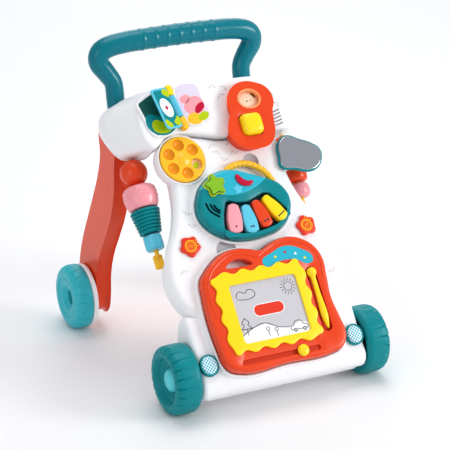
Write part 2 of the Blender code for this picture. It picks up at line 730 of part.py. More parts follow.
def dial_housing():
    """Orange housing over the step between head and waist, with the dial's cavity and slot,
    the window over it and the well of the paddle."""
    mesh = flat_solid(DIAL_HOUSING[::-1], GAP, HOUSING_TOP_H, rim=5.0, segments=2)
    housing = place("dial_housing", mesh, "orange", parent=PANEL)
    step = box_mesh(110.0, 100.0, 20.0, centre=(50.0, 399.0 + 50.0, HEAD_FRONT_H + GAP - 10.0))
    cut(housing, place_cutter("head_step", step, parent=PANEL))
    at = (*DIAL_CENTRE, 0.0)
    window = flat_solid(ellipse((0, 0), 14.5, 11.5, 12), DIAL_H + 1.0, 40.0)
    cut(housing, place_cutter("dial_window", window, at, parent=PANEL))
    cavity = cylinder_mesh(DIAL_RADIUS + 0.6, DIAL_H - 0.4, DIAL_H + 2.8, 24)
    cut(housing, place_cutter("dial_cavity", cavity, at, parent=PANEL))
    slot = flat_solid(sector(50.0, -8.0, 72.0, 6), DIAL_H - 0.4, DIAL_H + 2.8, smooth=False)
    cut(housing, place_cutter("dial_slot", slot, at, parent=PANEL))
    well = flat_solid(rounded_box(-16.4, 16.4, -16.4, 16.4, 6.0), -8.0, 20.0, smooth=False)
    cut(housing, place_cutter("paddle_well", well, (*PADDLE_CENTRE, HOUSING_TOP_H), parent=PANEL))


def dial_and_paddle():
    outline = ellipse((0, 0), DIAL_RADIUS, DIAL_RADIUS, 24)
    disc = flat_solid(outline, 0.0, 2.4, smooth=False)
    dial = place("picture_dial", disc, "pink", (*DIAL_CENTRE, DIAL_H), parent=PANEL)
    tab = flat_solid(rounded_box(8.0, DIAL_TAB_REACH, -5.5, 5.5, 5.0), 0.0, 2.4, smooth=False)
    join(dial, place_cutter("dial_tab", tab, (*DIAL_CENTRE, DIAL_H), (0, 0, radians(32)), PANEL))
    paddle = flat_solid(rounded_box(-16, 16, -32, 0, 6.5), 0.0, 13.0, rim=3.5, smooth=False)
    hinge = (PADDLE_CENTRE[0], PADDLE_CENTRE[1] + 16.0, HOUSING_TOP_H - 3.6)
    place("press_paddle", paddle, "yellow", hinge, parent=PANEL)


# ---- piano ---------------------------------------------------------------------------------
PIANO_OUTLINE = [(-68, 298), (-61, 278), (-44, 262.5), (-24, 253), (-4, 250), (22, 251.5),
                 (50, 260), (66, 276), (72.5, 297), (68, 313), (58, 325), (46, 331.5), (24, 341.5),
                 (2, 350.5), (-19, 352.5), (-44, 342), (-61, 323)]
KEY_WINDOW = [(-40.5, 258.5), (-25, 255.5), (12, 254), (38, 258.5), (63, 274), (62, 279),
              (42, 307), (33, 309.5), (23, 306.5), (7, 301), (-9, 302), (-27, 306.5)]
# Each key: colour, middle of its hinged upper end, length, width above and below, lean
KEYS = [("pink", (-17.0, 300.0), 38.0, 15.5, 20.0, -10.0),
        ("light_blue", (0.3, 296.0), 37.5, 13.0, 19.5, 2.0),
        ("orange", (16.2, 300.0), 37.5, 12.0, 18.5, 15.0),
        ("yellow", (32.5, 303.5), 39.0, 12.0, 18.0, 31.0)]
KEY_LOW_H = 9.0
KEY_HIGH_H = 18.6
KEY_HINGE_H = 11.0


def piano_case():
    back = flat_solid(grown(PIANO_OUTLINE, -3.0), PIANO_BACK_H, 2.6)
    place("piano_back", back, "teal", parent=PANEL)
    mesh = flat_solid(PIANO_OUTLINE, 3.0, PIANO_TOP_H, rim=7.0, segments=2)
    shell = place("piano_shell", mesh, "teal", parent=PANEL)
    window = flat_solid(KEY_WINDOW, 0.0, 30.0, smooth=False)
    cut(shell, place_cutter("key_window", window, parent=PANEL))
    baked(shell)
    open_back(shell.data, 3.0)
    thicken(shell, 1.8)


def key_mesh(length, top_width, bottom_width):
    half_top, half_low = top_width / 2, bottom_width / 2
    outline = [(half_low - 2, -length), (half_low, -length + 3), (half_top, -1.5),
               (half_top - 2, 0), (-half_top + 2, 0), (-half_top, -1.5),
               (-half_low, -length + 3), (-half_low + 2, -length)]
    return flat_solid(outline, KEY_LOW_H - KEY_HINGE_H, KEY_HIGH_H - KEY_HINGE_H, rim=1.2,
                      segments=1, smooth=False)


def piano_keys():
    for index, (colour, top, length, top_width, low_width, lean) in enumerate(KEYS, start=1):
        mesh = key_mesh(length, top_width, low_width)
        place("key_%d" % index, mesh, colour, (*top, KEY_HINGE_H), (0, 0, radians(lean)), PANEL)


def star_outline(radius_out, radius_in, points=5):
    ring = []
    for index in range(points * 2):
        radius = radius_out if index % 2 == 0 else radius_in
        angle = pi / 2 + pi * index / points
        ring.append((radius * cos(angle), radius * sin(angle)))
    return ring


def piano_details():
    star = flat_solid(star_outline(16.0, 9.0), 0.0, 3.0, rim=0.8, segments=1, smooth=False)
    place("star_button", star, "green", (-36.0, 331.0, PIANO_TOP_H + 2.4), (0, 0, radians(6)),
          PANEL)
    speaker = cylinder_mesh(11.5, 3.4, 9.0, 20)
    place("speaker", speaker, "black", (-52.0, 297.0, 0.0), parent=PANEL)
    board = box_mesh(50.0, 18.0, 1.6, centre=(0, 0, 5.0))
    place("circuit_board", board, "green", (2.0, 326.0, 0.0), parent=PANEL)
    route = [(-12, 349, 8), (-4, 354.5, 8), (9, 358.5, 8), (24, 358, 8), (38, 351.5, 8),
             (50, 340, 8), (57, 324, 8)]
    mesh = tube_mesh(route, [4.0] * len(route), sides_level=2, steps=3)
    grip = place("piano_handle", mesh, "amber", parent=PANEL)
    body = flat_solid(grown(PIANO_OUTLINE, GAP), -5.0, 30.0)
    cut(grip, place_cutter("piano_body", body, parent=PANEL))


# ---- drawing board -------------------------------------------------------------------------
BOARD_OUTLINE = [(-78, 73.5), (0, 72.5), (70, 73.5), (86, 80), (94, 96), (92, 118), (88, 148),
                 (91, 178), (93, 204), (86, 223), (72, 236), (54, 243), (34, 242.5), (16, 236.5),
                 (4, 232), (-12, 236.5), (-32, 240), (-52, 237), (-70, 227), (-83, 216), (-92, 206),
                 (-96, 182), (-98, 150), (-96, 112), (-91, 84)]
HANDLE_SLOT = [(-55, 213.5), (-14, 213.5), (-14.5, 217), (-24, 223), (-36, 225), (-47, 221.5)]
SCREEN_EDGES = (-62.0, 44.0, 104.5, 192.0)
BEZEL_EDGES = (-81.5, 57.0, 95.5, 208.0)
KNOB_CENTRE = (21.0, 83.0)
KNOB_TRAVEL = (-88.0, 24.0)
PEN_TOP = (67.5, 186.0)
PEN_LENGTH = 81.0


def board_case():
    back = flat_solid(grown(BOARD_OUTLINE, -4.0), BOARD_BACK_H, 2.4,
                      holes=(grown(HANDLE_SLOT, 3.0),))
    place("board_back", back, "orange", parent=PANEL)
    mesh = flat_solid(BOARD_OUTLINE, 2.8, BOARD_TOP_H, rim=5.0, segments=2)
    shell = place("board_frame", mesh, "orange", parent=PANEL)
    slot = flat_solid(HANDLE_SLOT, -5.0, 40.0, smooth=False)
    cut(shell, place_cutter("handle_slot", slot, parent=PANEL))
    window = flat_solid(rounded_box(*SCREEN_EDGES, 5.0), -5.0, 40.0, smooth=False)
    cut(shell, place_cutter("screen_window", window, parent=PANEL))
    groove = flat_solid(rounded_box(-8.0, 8.0, -PEN_LENGTH - 3.0, 9.5, 7.0), -6.5, 20.0,
                        smooth=False)
    cut(shell, place_cutter("pen_groove", groove, (*PEN_TOP, BOARD_TOP_H),
                            parent=PANEL))
    low_x = KNOB_CENTRE[0] + KNOB_TRAVEL[0] - 3.2
    high_x = KNOB_CENTRE[0] + KNOB_TRAVEL[1] + 3.2
    track = flat_solid(rounded_box(low_x, high_x, -3.2, 3.2, 3.1), -3.0, 30.0, smooth=False)
    cut(shell, place_cutter("knob_track", track, (0, KNOB_CENTRE[1], BOARD_TOP_H - 0.5),
                            parent=PANEL))
    baked(shell)
    open_back(shell.data, 2.8)
    thicken(shell, 1.6)


def wavy_outline(edges, wave, count_x, count_y):
    """A rectangle whose sides swing in and out in even waves."""
    x0, x1, y0, y1 = edges
    outline = []
    for index in range(count_x * 2):
        outline.append((x0 + (x1 - x0) * (index + 0.5) / (count_x * 2),
                        y0 - wave * (1 if index % 2 else -1) * 0.5))
    for index in range(count_y * 2):
        outline.append((x1 + wave * (1 if index % 2 else -1) * 0.5,
                        y0 + (y1 - y0) * (index + 0.5) / (count_y * 2)))
    for index in range(count_x * 2):
        outline.append((x1 - (x1 - x0) * (index + 0.5) / (count_x * 2),
                        y1 + wave * (1 if index % 2 else -1) * 0.5))
    for index in range(count_y * 2):
        outline.append((x0 - wave * (1 if index % 2 else -1) * 0.5,
                        y1 - (y1 - y0) * (index + 0.5) / (count_y * 2)))
    return outline


def board_details():
    opening = rounded_box(-59.5, 41.5, 107.0, 189.5, 4.0, steps=2)
    bezel = flat_solid(wavy_outline(BEZEL_EDGES, 3.0, 5, 4), BOARD_TOP_H + GAP,
                       BOARD_TOP_H + 2.8, holes=(opening,), steps=2)
    place("board_bezel", bezel, "yellow", parent=PANEL)
    x0, x1, y0, y1 = SCREEN_EDGES
    screen = flat_solid(rounded_box(x0 + GAP, x1 - GAP, y0 + GAP, y1 - GAP, 4.6),
                        BOARD_TOP_H - 3.0, BOARD_TOP_H, smooth=False)
    place("board_screen", screen, "grey", parent=PANEL)
    knob = [(0, 6.0), (5.6, 5.6), (7.6, 3.8), (8.2, 1.8), (8.2, 0.4), (2.0, 0.4), (2.0, -2.0), (0, -2.0)]
    turned("eraser_knob", knob, "yellow", 16, (*KNOB_CENTRE, BOARD_TOP_H), parent=PANEL)
    pen = [(0, 7.2), (4.6, 5.6), (6.9, 1.6), (6.0, -3.4), (3.4, -7.5), (3.6, -30), (4.9, -56),
           (4.4, -68), (2.0, -78), (0, -PEN_LENGTH)]
    turned("pen", pen, "yellow", 14, (*PEN_TOP, BOARD_TOP_H + 1.4), ALONG_SLOPE, PANEL)


# ---- beads, rings and mirror on the side rods ------------------------------------------------
BEAD_BORE = ROD_RADIUS + 0.35
BEADS = {
    "bead_ball": ("orange", 385.6, [(BEAD_BORE, 19.6), (9, 17.8), (15.4, 12.6), (19.2, 5.4),
                                    (19.2, -5.4), (15.4, -12.6), (9, -17.8), (BEAD_BORE, -19.6)]),
    "bead_barrel": ("pink", 348.5, [(BEAD_BORE, 16.6), (18, 16.6), (22.4, 12.5), (23.8, 4),
                                    (23.2, -6), (20.6, -16.6), (BEAD_BORE, -16.6)]),
    "bead_cone": ("teal", 313.0, [(BEAD_BORE, 18), (20, 18), (21, 14), (18, 2), (14.6, -17.6),
                                  (BEAD_BORE, -17.6)]),
}
RINGS = {
    "ring_orange": ("orange", 342.0, 18.0, 21.0),
    "ring_pink": ("pink", 319.5, 15.0, 21.0),
}


def side_rod(side, label):
    """Round rod beside the panel, standing on a foot behind the hip."""
    mesh = cylinder_mesh(ROD_RADIUS, ROD_LOW_S, ROD_HIGH_S, 16)
    rod = place("rod_" + label, mesh, "yellow", (side * ROD_X, 0, ROD_H), ALONG_SLOPE, PANEL)
    foot = box_mesh(13.0, 20.0, 9.0, soften=2.5)
    middle = (side * (ROD_X - 1.0), ROD_LOW_S - 6.0, ROD_H - 4.0)
    join(rod, place_cutter("rod_foot_" + label, foot, middle, parent=PANEL))


def beads():
    for name, (colour, centre_s, profile) in BEADS.items():
        turned(name, profile, colour, 20, (-ROD_X, centre_s, ROD_H), ALONG_SLOPE, PANEL,
               ring=True)
    nut = [(4.0, 11), (12.5, 11), (13.4, 9), (13.4, -9), (12.5, -11), (4.0, -11)]
    turned("bead_nut", nut, "light_blue", 6, (-ROD_X, 283.0, ROD_H), ALONG_SLOPE, PANEL,
           ring=True)
    for name, (colour, centre_s, radius, width) in RINGS.items():
        half = width / 2
        profile = [(BEAD_BORE, half), (radius * 0.7, half), (radius, half * 0.5),
                   (radius, -half * 0.5), (radius * 0.7, -half), (BEAD_BORE, -half)]
        turned(name, profile, colour, 18, (ROD_X, centre_s, ROD_H), ALONG_SLOPE, PANEL,
               ring=True)


MIRROR_OUTLINE = [(-43, -21), (-22, -28), (-1, -34), (14, -30), (24, -17), (25, -4), (16, 6),
                  (-3, 16), (-21, 24), (-32, 20), (-40, 10), (-42, -5)]
MIRROR_S = 366.0
MIRROR_H = 5.0


def mirror():
    """Safety mirror on an arm that turns about the right rod; origins on the rod's axis."""
    axis = (ROD_X, MIRROR_S, ROD_H)
    out = MIRROR_H - ROD_H
    frame = flat_solid(MIRROR_OUTLINE, out - 3.0, out + 1.6, rim=1.2, segments=1, steps=2)
    body = place("mirror_frame", frame, "teal", axis, parent=PANEL)
    arm = place_cutter("mirror_arm", box_mesh(8.0, 14.0, out - 4.0, centre=(0, 0, (out - 1) / 2)),
                       axis, parent=PANEL)
    sleeve = place_cutter("mirror_sleeve", cylinder_mesh(7.5, -9.0, 9.0, 16), axis, ALONG_SLOPE,
                          PANEL)
    bore = place_cutter("mirror_bore", cylinder_mesh(BEAD_BORE, -20.0, 20.0, 16), axis,
                        ALONG_SLOPE, PANEL)
    join(body, arm)
    join(body, sleeve)
    cut(body, bore)
    plate = flat_solid([(x * 0.9 - 0.5, y * 0.9) for x, y in MIRROR_OUTLINE], out + 2.0,
                       out + 3.2, steps=2)
    place("mirror_plate", plate, "mirror", axis, parent=PANEL)


def stand_on_origin():
    """Moves the walker and its panel frame so that its box is centred on the origin."""
    for obj in bpy.data.objects:
        if obj.parent is None:
            obj.location.y += CENTRING * MM


def build():
    panel_shell()
    hip_cover()
    waist_cover()
    head_front()
    head_back()
    handle()
    for side, label in ((-1, "left"), (1, "right")):
        rear_leg(side, label)
        side_rod(side, label)
    base_shell()
    base_cover()
    front_axle()
    wheels()
    badges_and_lamps()
    cup_wheel()
    book()
    dial_housing()
    dial_and_paddle()
    piano_case()
    piano_keys()
    piano_details()
    board_case()
    board_details()
    beads()
    mirror()
    stand_on_origin()


build()
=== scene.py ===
"""Looks of a push-along baby walker: moulded shells, ribbed handle, treaded wheels and its toys.

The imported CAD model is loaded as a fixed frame.  Each operator builds one piece or one group of
like pieces around it, in the panel frame: x across, s up the slope from the floor line and h out
of the panel, all in millimetres.
"""
from math import cos, pi, radians, sin, sqrt
import bmesh
import bpy
from bpy.props import FloatProperty, FloatVectorProperty, IntProperty, PointerProperty
from bpy.types import Operator, Panel, PropertyGroup
from mathutils import Matrix, Vector
from mathutils.geometry import interpolate_bezier


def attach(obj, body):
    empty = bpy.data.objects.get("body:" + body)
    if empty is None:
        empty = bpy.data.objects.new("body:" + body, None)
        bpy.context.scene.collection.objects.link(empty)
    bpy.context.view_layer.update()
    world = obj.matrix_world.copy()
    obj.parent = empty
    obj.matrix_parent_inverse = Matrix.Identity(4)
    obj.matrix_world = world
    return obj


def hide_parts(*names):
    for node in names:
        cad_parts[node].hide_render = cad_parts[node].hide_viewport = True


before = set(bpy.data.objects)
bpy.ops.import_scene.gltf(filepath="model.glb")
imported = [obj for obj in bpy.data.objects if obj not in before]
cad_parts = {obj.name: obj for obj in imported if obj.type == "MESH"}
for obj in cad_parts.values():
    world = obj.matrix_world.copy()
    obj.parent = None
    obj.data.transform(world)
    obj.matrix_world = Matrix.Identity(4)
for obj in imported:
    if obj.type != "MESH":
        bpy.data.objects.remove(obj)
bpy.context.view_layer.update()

bl_info = {
    "name": "Baby walker",
    "version": (1, 0, 0),
    "blender": (4, 5, 0),
    "location": "View3D > Sidebar > Walker",
    "description": "Builds the looks of a push-along baby walker around its CAD frame",
    "category": "Add Mesh",
}

MM = 0.001
SCALE_MM = Matrix.Scale(MM, 4)
WORLD_MM = Matrix.Translation((0.0, 4.2 * MM, 0.0)) @ SCALE_MM
SIDE_ON = Matrix(((0, 0, 1, 0), (1, 0, 0, 0), (0, 1, 0, 0), (0, 0, 0, 1)))
UP_SLOPE = Matrix.Rotation(radians(-90), 4, "X")

# ---- shapes shared with the frame ------------------------------------------------------------
BODY_FLANK = [(0, 150.5), (55, 150.5), (98, 152.5), (112, 164), (124, 182), (130, 205), (130, 228),
              (122, 255), (106, 284), (94, 315), (88.5, 345), (88, 372), (88.5, 390)]
HEAD_LEDGE = [(85.5, 397), (80, 398.6), (62, 399.4), (30, 400.4), (0, 402.4), (-22, 408.2),
              (-44, 413.2), (-64, 414), (-76, 411), (-86, 402.5)]
HIP_BACK_HALF = [(0, 152), (55, 152), (96, 154), (110, 166), (122, 184), (128, 205), (128, 226),
                 (120, 247), (108, 255), (94, 257), (40, 257), (0, 257)]
WAIST_FLANK = [(0, 259.8), (60, 259.8), (92, 260), (102, 262), (106, 268), (98, 296),
               (91, 318), (86.5, 345), (86, 372), (86.5, 390)]
HEAD_FRONT_EDGE = [(-103, 401), (-92, 405), (-80, 414), (-64, 416), (-44, 415), (-22, 410),
                   (0, 404), (30, 402), (62, 401), (90, 400), (103, 400), (110, 408), (113, 424),
                   (113, 446), (110, 464), (101, 478), (80, 484), (45, 486), (0, 486),
                   (-45, 486), (-80, 484), (-101, 478), (-111, 464), (-114, 446), (-114, 424),
                   (-110, 409)]
HEAD_WIDE_EDGE = [(-121, 407), (-97, 405.5), (-80, 414), (-64, 416), (-44, 415), (-22, 410),
                  (0, 404), (30, 402), (62, 401), (97, 403), (121, 407), (134, 413), (142, 429),
                  (143, 452), (137, 472), (120, 487), (92, 496), (50, 499), (0, 500), (-50, 499),
                  (-92, 496), (-120, 487), (-137, 472), (-143, 452), (-142, 429), (-134, 413)]
HEAD_MIDDLE_S = 457.0
LEG_OUTLINE = [(98, 322), (100, 280), (110, 248), (130, 208), (152, 168), (172, 130), (185, 95),
               (189.5, 62), (183, 34), (163, 21.5), (144, 30), (137, 52), (134, 88), (122, 123),
               (100, 160), (78, 198), (66, 232), (62, 272), (66, 320)]
BASE_PROFILE = [(-152, 119), (-163, 104.9), (-185, 76.8), (-198.5, 59.3), (-206.5, 47),
                (-205.5, 33.5), (-197, 25.5), (-180, 22), (-135, 22), (-122, 30), (-118, 50),
                (-119, 85), (-124, 111), (-133, 121), (-141, 124), (-147.5, 122.5)]
PIANO_OUTLINE = [(-68, 298), (-61, 278), (-44, 262.5), (-24, 253), (-4, 250), (22, 251.5),
                 (50, 260), (66, 276), (72.5, 297), (68, 313), (58, 325), (46, 331.5), (24, 341.5),
                 (2, 350.5), (-19, 352.5), (-44, 342), (-61, 323)]
KEY_WINDOW = [(-40.5, 258.5), (-25, 255.5), (12, 254), (38, 258.5), (63, 274), (62, 279),
              (42, 307), (33, 309.5), (23, 306.5), (7, 301), (-9, 302), (-27, 306.5)]
BOARD_OUTLINE = [(-78, 73.5), (0, 72.5), (70, 73.5), (86, 80), (94, 96), (92, 118), (88, 148),
                 (91, 178), (93, 204), (86, 223), (72, 236), (54, 243), (34, 242.5), (16, 236.5),
                 (4, 232), (-12, 236.5), (-32, 240), (-52, 237), (-70, 227), (-83, 216), (-92, 206),
                 (-96, 182), (-98, 150), (-96, 112), (-91, 84)]
HANDLE_SLOT = [(-55, 213.5), (-14, 213.5), (-14.5, 217), (-24, 223), (-36, 225), (-47, 221.5)]
DIAL_HOUSING = [(22, 443), (22, 428), (16, 416), (12, 402), (17, 389), (30, 379), (48, 377.5),
                (63, 381.5), (72, 394), (75, 410), (78, 426), (84, 441), (80, 456), (68, 464),
                (52, 468), (38, 465), (27, 455)]
MIRROR_OUTLINE = [(77, 345), (98, 338), (119, 332), (134, 336), (144, 349), (145, 362), (136, 372),
                  (117, 382), (99, 390), (88, 386), (80, 376), (78, 361)]

# Embossed clouds on the white shells: x, y, height of the surface and turn in degrees.
CLOUD_MARKS = [(8, 474, 8, 10), (24, 471, 8, -30), (18, 459, 8, 30), (92, 452, 8, -70),
               (96, 436, 8, -40), (-14, 391, 0, 20), (-12, 381, 0, -20), (0, 374, 0, 160),
               (14, 376, 0, 10), (12, 390, 0, 0), (-78, 306, 0, 160), (-76, 288, 0, 170),
               (-108, 222, 0, 20), (108, 190, 0, 200)]
HEAD_SPLIT_H = -45.0
# Head front sections: height and share of the way from the widest to the front outline.
HEAD_FRONT_BLENDS = [(HEAD_SPLIT_H, 0), (-40, 0), (-25, 0.25), (-8, 0.68), (3, 1)]
AXLE_Y = 162.3
AXLE_Z = 47.7
STAR_CENTRE = (-36.0, 331.0)
PLASTIC_SPECULAR = 0.28
CAMERA_TARGET = (0.0101, 0.0042, 0.1864)
HEAD_FRONT_H = 8.0
PIANO_TOP_H = 17.0
BOARD_TOP_H = 16.0
HOUSING_TOP_H = 21.0
ROD_X = 120.0
ROD_H = -43.0
CUP_WHEEL_CENTRE = (-64.5, 379.5)
DIAL_CENTRE = (52.5, 446.5)
PADDLE_CENTRE = (44.5, 409.0)
SPINE_LOW = Vector((-51.0, 421.0))
SPINE_HIGH = Vector((-61.0, 485.0))
SPINE_H = 14.8
PAGE_LIFT = radians(19.0)
KEYS = [("pink", (-17.0, 300.0), 38.0, 15.5, 20.0, -10.0),
        ("light_blue", (0.3, 296.0), 37.5, 13.0, 19.5, 2.0),
        ("orange", (16.2, 300.0), 37.5, 12.0, 18.5, 15.0),
        ("yellow", (32.5, 303.5), 39.0, 12.0, 18.0, 31.0)]


def srgb(red, green, blue):
    """A colour given as the usual 0 to 255 values, turned into the linear values shaders use."""
    linear = []
    for value in (red, green, blue):
        share = value / 255.0
        linear.append(share / 12.92 if share <= 0.04045 else ((share + 0.055) / 1.055) ** 2.4)
    return tuple(linear)


def colour_property(label, red, green, blue):
    return FloatVectorProperty(name=label, description=f"Colour of the {label.lower()}",
                               subtype="COLOR", size=3, min=0.0, max=1.0,
                               default=srgb(red, green, blue))


class WalkerSizes(PropertyGroup):
    """Sizes a user would change; the outlines themselves follow the frame."""
    panel_tilt: FloatProperty(name="Panel tilt", description="Slope of the activity panel",
                              default=radians(52.0), unit="ROTATION")
    panel_foot: FloatProperty(name="Panel foot", description="Where the panel meets the floor",
                              default=-0.2448, unit="LENGTH")
    grip_ribs: IntProperty(name="Grip ribs", description="Raised rings on the handle", default=7)
    rib_spacing: FloatProperty(name="Rib spacing", description="Distance between grip rings",
                               default=0.0187, unit="LENGTH")
    tread_grooves: IntProperty(name="Tread grooves", description="Grooves round a wheel",
                               default=22)
    camera_distance: FloatProperty(name="Camera distance", default=2.706, unit="LENGTH",
                                   description="Distance from the camera to its target")
    camera_azimuth: FloatProperty(name="Camera azimuth", default=radians(-27.02),
                                  description="Turn of the camera about the walker",
                                  unit="ROTATION")
    camera_elevation: FloatProperty(name="Camera elevation", default=radians(20.83),
                                    description="Height angle of the camera", unit="ROTATION")
    camera_lens: FloatProperty(name="Camera lens", description="Focal length in millimetres",
                               default=152.9)


class WalkerColours(PropertyGroup):
    """Plastic colours, with the greys and darker tones painted into hollows as painted shade."""
    white: colour_property("White shells", 244, 244, 245)
    # Grey painted into finger recesses, slots, screw holes and embossed marks as painted shade; also
    # the mesh lines of the drawing screen.
    shade_and_mesh_grey: colour_property("Painted recess shade and screen mesh", 190, 190, 194)
    teal: colour_property("Teal handle", 0, 124, 138)
    wheel_teal: colour_property("Front wheels", 0, 138, 144)
    light_teal: colour_property("Rear wheels", 20, 186, 206)
    cyan: colour_property("Hub caps", 100, 205, 210)
    orange: colour_property("Orange parts", 238, 78, 14)
    light_blue: colour_property("Light blue parts", 70, 186, 220)
    sky: colour_property("Piano sky", 50, 182, 204)
    piano_teal: colour_property("Piano case", 0, 138, 144)
    yellow: colour_property("Yellow parts", 250, 202, 14)
    amber: colour_property("Amber parts", 242, 172, 30)
    pink: colour_property("Pink parts", 250, 160, 172)
    green: colour_property("Green star", 138, 190, 34)
    crimson: colour_property("Crimson parts", 196, 24, 62)
    red: colour_property("Badges", 232, 56, 36)
    grey: colour_property("Screen", 206, 203, 207)
    leaf: colour_property("Leaf green print", 186, 206, 10)
    forest: colour_property("Dark green print", 24, 92, 84)
    lilac: colour_property("Lilac print", 226, 216, 234)
    peach: colour_property("Dial picture", 248, 206, 176)
    ink: colour_property("Printed line", 58, 58, 66)
    dark: colour_property("Shadowed inside", 22, 24, 26)
    mirror: colour_property("Mirror", 208, 210, 214)
    steel: colour_property("Steel", 176, 178, 182)
    copper: colour_property("Circuit board", 30, 110, 60)
    bowl: colour_property("Bowls", 238, 156, 20)
    peach_rim: colour_property("Lens ring", 250, 172, 120)
    # Darker teal painted inside the piano's key window and grooves as painted shade.
    cream: colour_property("Dial centre", 252, 226, 200)
    # Darker orange painted inside the board's pen groove and eraser track as painted shade.
    well_shade_teal: colour_property("Key well shade", 0, 84, 92)
    groove_shade_orange: colour_property("Board groove shade", 212, 62, 22)


# ---- plane outlines -------------------------------------------------------------------------
def knot_handles(before, knot, after):
    """Handles of an evenly rounded knot between its two neighbours."""
    back, ahead = knot - before, after - knot
    along = ahead / ahead.length + back / back.length
    reach = along.length * 2.5614
    return knot - along * (back.length / reach), knot + along * (ahead.length / reach)


def smooth_loop(points, steps=6):
    """Closed smooth line through knots, as a list of points."""
    knots = [Vector(point) for point in points]
    count = len(knots)
    handles = [knot_handles(knots[i - 1], knots[i], knots[(i + 1) % count]) for i in range(count)]
    line = []
    for i in range(count):
        following = (i + 1) % count
        stretch = interpolate_bezier(knots[i].to_3d(), handles[i][1].to_3d(),
                                     handles[following][0].to_3d(), knots[following].to_3d(),
                                     steps + 1)
        line.extend(stretch[:-1])
    if len(knots[0]) == 2:
        return [(point.x, point.y) for point in line]
    return line


def smooth_line(points, steps=6):
    """Open smooth line through knots."""
    knots = [Vector(point).to_3d() for point in points]
    last = len(knots) - 1
    line = []
    handles = []
    for i, knot in enumerate(knots):
        if 0 < i < last:
            handles.append(knot_handles(knots[i - 1], knot, knots[i + 1]))
        else:
            other = knots[1] if i == 0 else knots[last - 1]
            toward = knot + (other - knot) / 3
            handles.append((toward, toward))
    for i in range(last):
        stretch = interpolate_bezier(knots[i], handles[i][1], handles[i + 1][0], knots[i + 1],
                                     steps + 1)
        line.extend(stretch[:-1])
    return line + [knots[last]]


def between(rows, steps):
    """Rows of numbers with evenly rounded rows filled in between them."""
    knots = [Vector(row) for row in rows]
    last = len(knots) - 1
    filled = []
    for i in range(last):
        first, here, there, beyond = (knots[max(0, min(last, i + k))] for k in (-1, 0, 1, 2))
        for step in range(steps):
            t = step / steps
            filled.append(0.5 * (2 * here + (there - first) * t
                                 + (2 * first - 5 * here + 4 * there - beyond) * t ** 2
                                 + (3 * here - first - 3 * there + beyond) * t ** 3))
    return filled + [knots[last]]


def mirrored(half):
    """Closed outline from its right half, listed from the bottom middle to the top middle."""
    return list(half) + [(-x, y) for x, y in reversed(half) if x > 0.01]


def grown(outline, distance):
    """A counter-clockwise outline moved outwards."""
    moved = []
    count = len(outline)
    for i in range(count):
        before, here, after = (Vector(outline[j % count]).to_2d() for j in (i - 1, i, i + 1))
        first = (here - before).normalized()
        second = (after - here).normalized()
        along = (first + second).normalized()
        square = max(0.5, along.dot(second))
        moved.append((here.x + along.y * distance / square, here.y - along.x * distance / square))
    return moved


def ellipse(centre, half_x, half_y, count=32, tilt=0.0):
    ring = []
    for i in range(count):
        angle = 2 * pi * i / count
        x, y = half_x * cos(angle), half_y * sin(angle)
        ring.append((centre[0] + x * cos(tilt) - y * sin(tilt),
                     centre[1] + x * sin(tilt) + y * cos(tilt)))
    return ring


def rounded_box(x0, x1, y0, y1, radius, steps=6):
    corners = [(x1 - radius, y1 - radius, 0), (x0 + radius, y1 - radius, 90),
               (x0 + radius, y0 + radius, 180), (x1 - radius, y0 + radius, 270)]
    outline = []
    for cx, cy, start in corners:
        for step in range(steps + 1):
            angle = radians(start + 90.0 * step / steps)
            outline.append((cx + radius * cos(angle), cy + radius * sin(angle)))
    return outline


def star_outline(centre, radius_out, radius_in, turn=0.0, points=5):
    ring = []
    for i in range(points * 2):
        radius = radius_out if i % 2 == 0 else radius_in
        angle = pi / 2 + turn + pi * i / points
        ring.append((centre[0] + radius * cos(angle), centre[1] + radius * sin(angle)))
    return ring


def softened(outline, share=0.22):
    """A polygon with its corners cut and rounded."""
    knots = []
    count = len(outline)
    for i in range(count):
        here = Vector(outline[i])
        knots.append(tuple(here.lerp(Vector(outline[i - 1]), share)))
        knots.append(tuple(here.lerp(Vector(outline[(i + 1) % count]), share)))
    return smooth_loop(knots, 3)


def stroke(points, width, steps=5):
    """Closed outline of a line with a width, through smooth knots, with round ends."""
    line = [point.to_2d() for point in smooth_line(points, steps)]
    half = width / 2
    left, right = [], []
    for i, here in enumerate(line):
        before, after = line[max(i - 1, 0)], line[min(i + 1, len(line) - 1)]
        along = (after - before).normalized()
        side = Vector((-along.y, along.x)) * half
        left.append(here + side)
        right.append(here - side)
    end = (line[-1] - line[-2]).normalized() * half
    start = (line[0] - line[1]).normalized() * half
    ring = right + [line[-1] + end] + left[::-1] + [line[0] + start]
    return [(point.x, point.y) for point in ring]


def ring(bm, outline, level):
    """Edge loop over an outline; level is a height or a function of x and y."""
    height = level if callable(level) else lambda x, y: level
    verts = [bm.verts.new((x, y, height(x, y))) for x, y in outline]
    return [bm.edges.new(pair) for pair in zip(verts, verts[1:] + verts[:1])]


def skin(bm, rings):
    for lower, upper in zip(rings, rings[1:]):
        bmesh.ops.bridge_loops(bm, edges=lower + upper)


def cap(bm, edges, mouths=()):
    """Closes a loop, leaving the given mouths open."""
    if mouths:
        inner = [edge for mouth in mouths for edge in mouth]
        bmesh.ops.triangle_fill(bm, use_beauty=True, use_dissolve=False, edges=edges + inner)
    else:
        bmesh.ops.edgeloop_fill(bm, edges=edges)


def paint_new(bm, before, index):
    for face in bm.faces:
        if face not in before:
            face.material_index = index


def pocket(bm, outline, level, depth, soften=0.5, index=0):
    """Recess with a softened mouth; returns the mouth's loop."""
    before = set(bm.faces)
    mouth = ring(bm, grown(outline, soften), level)
    lip = ring(bm, grown(outline, soften * 0.3), level - soften * 0.3)
    side = ring(bm, outline, level - soften)
    floor = ring(bm, outline, level - depth)
    skin(bm, [mouth, lip, side, floor])
    cap(bm, floor)
    paint_new(bm, before, index)
    return mouth


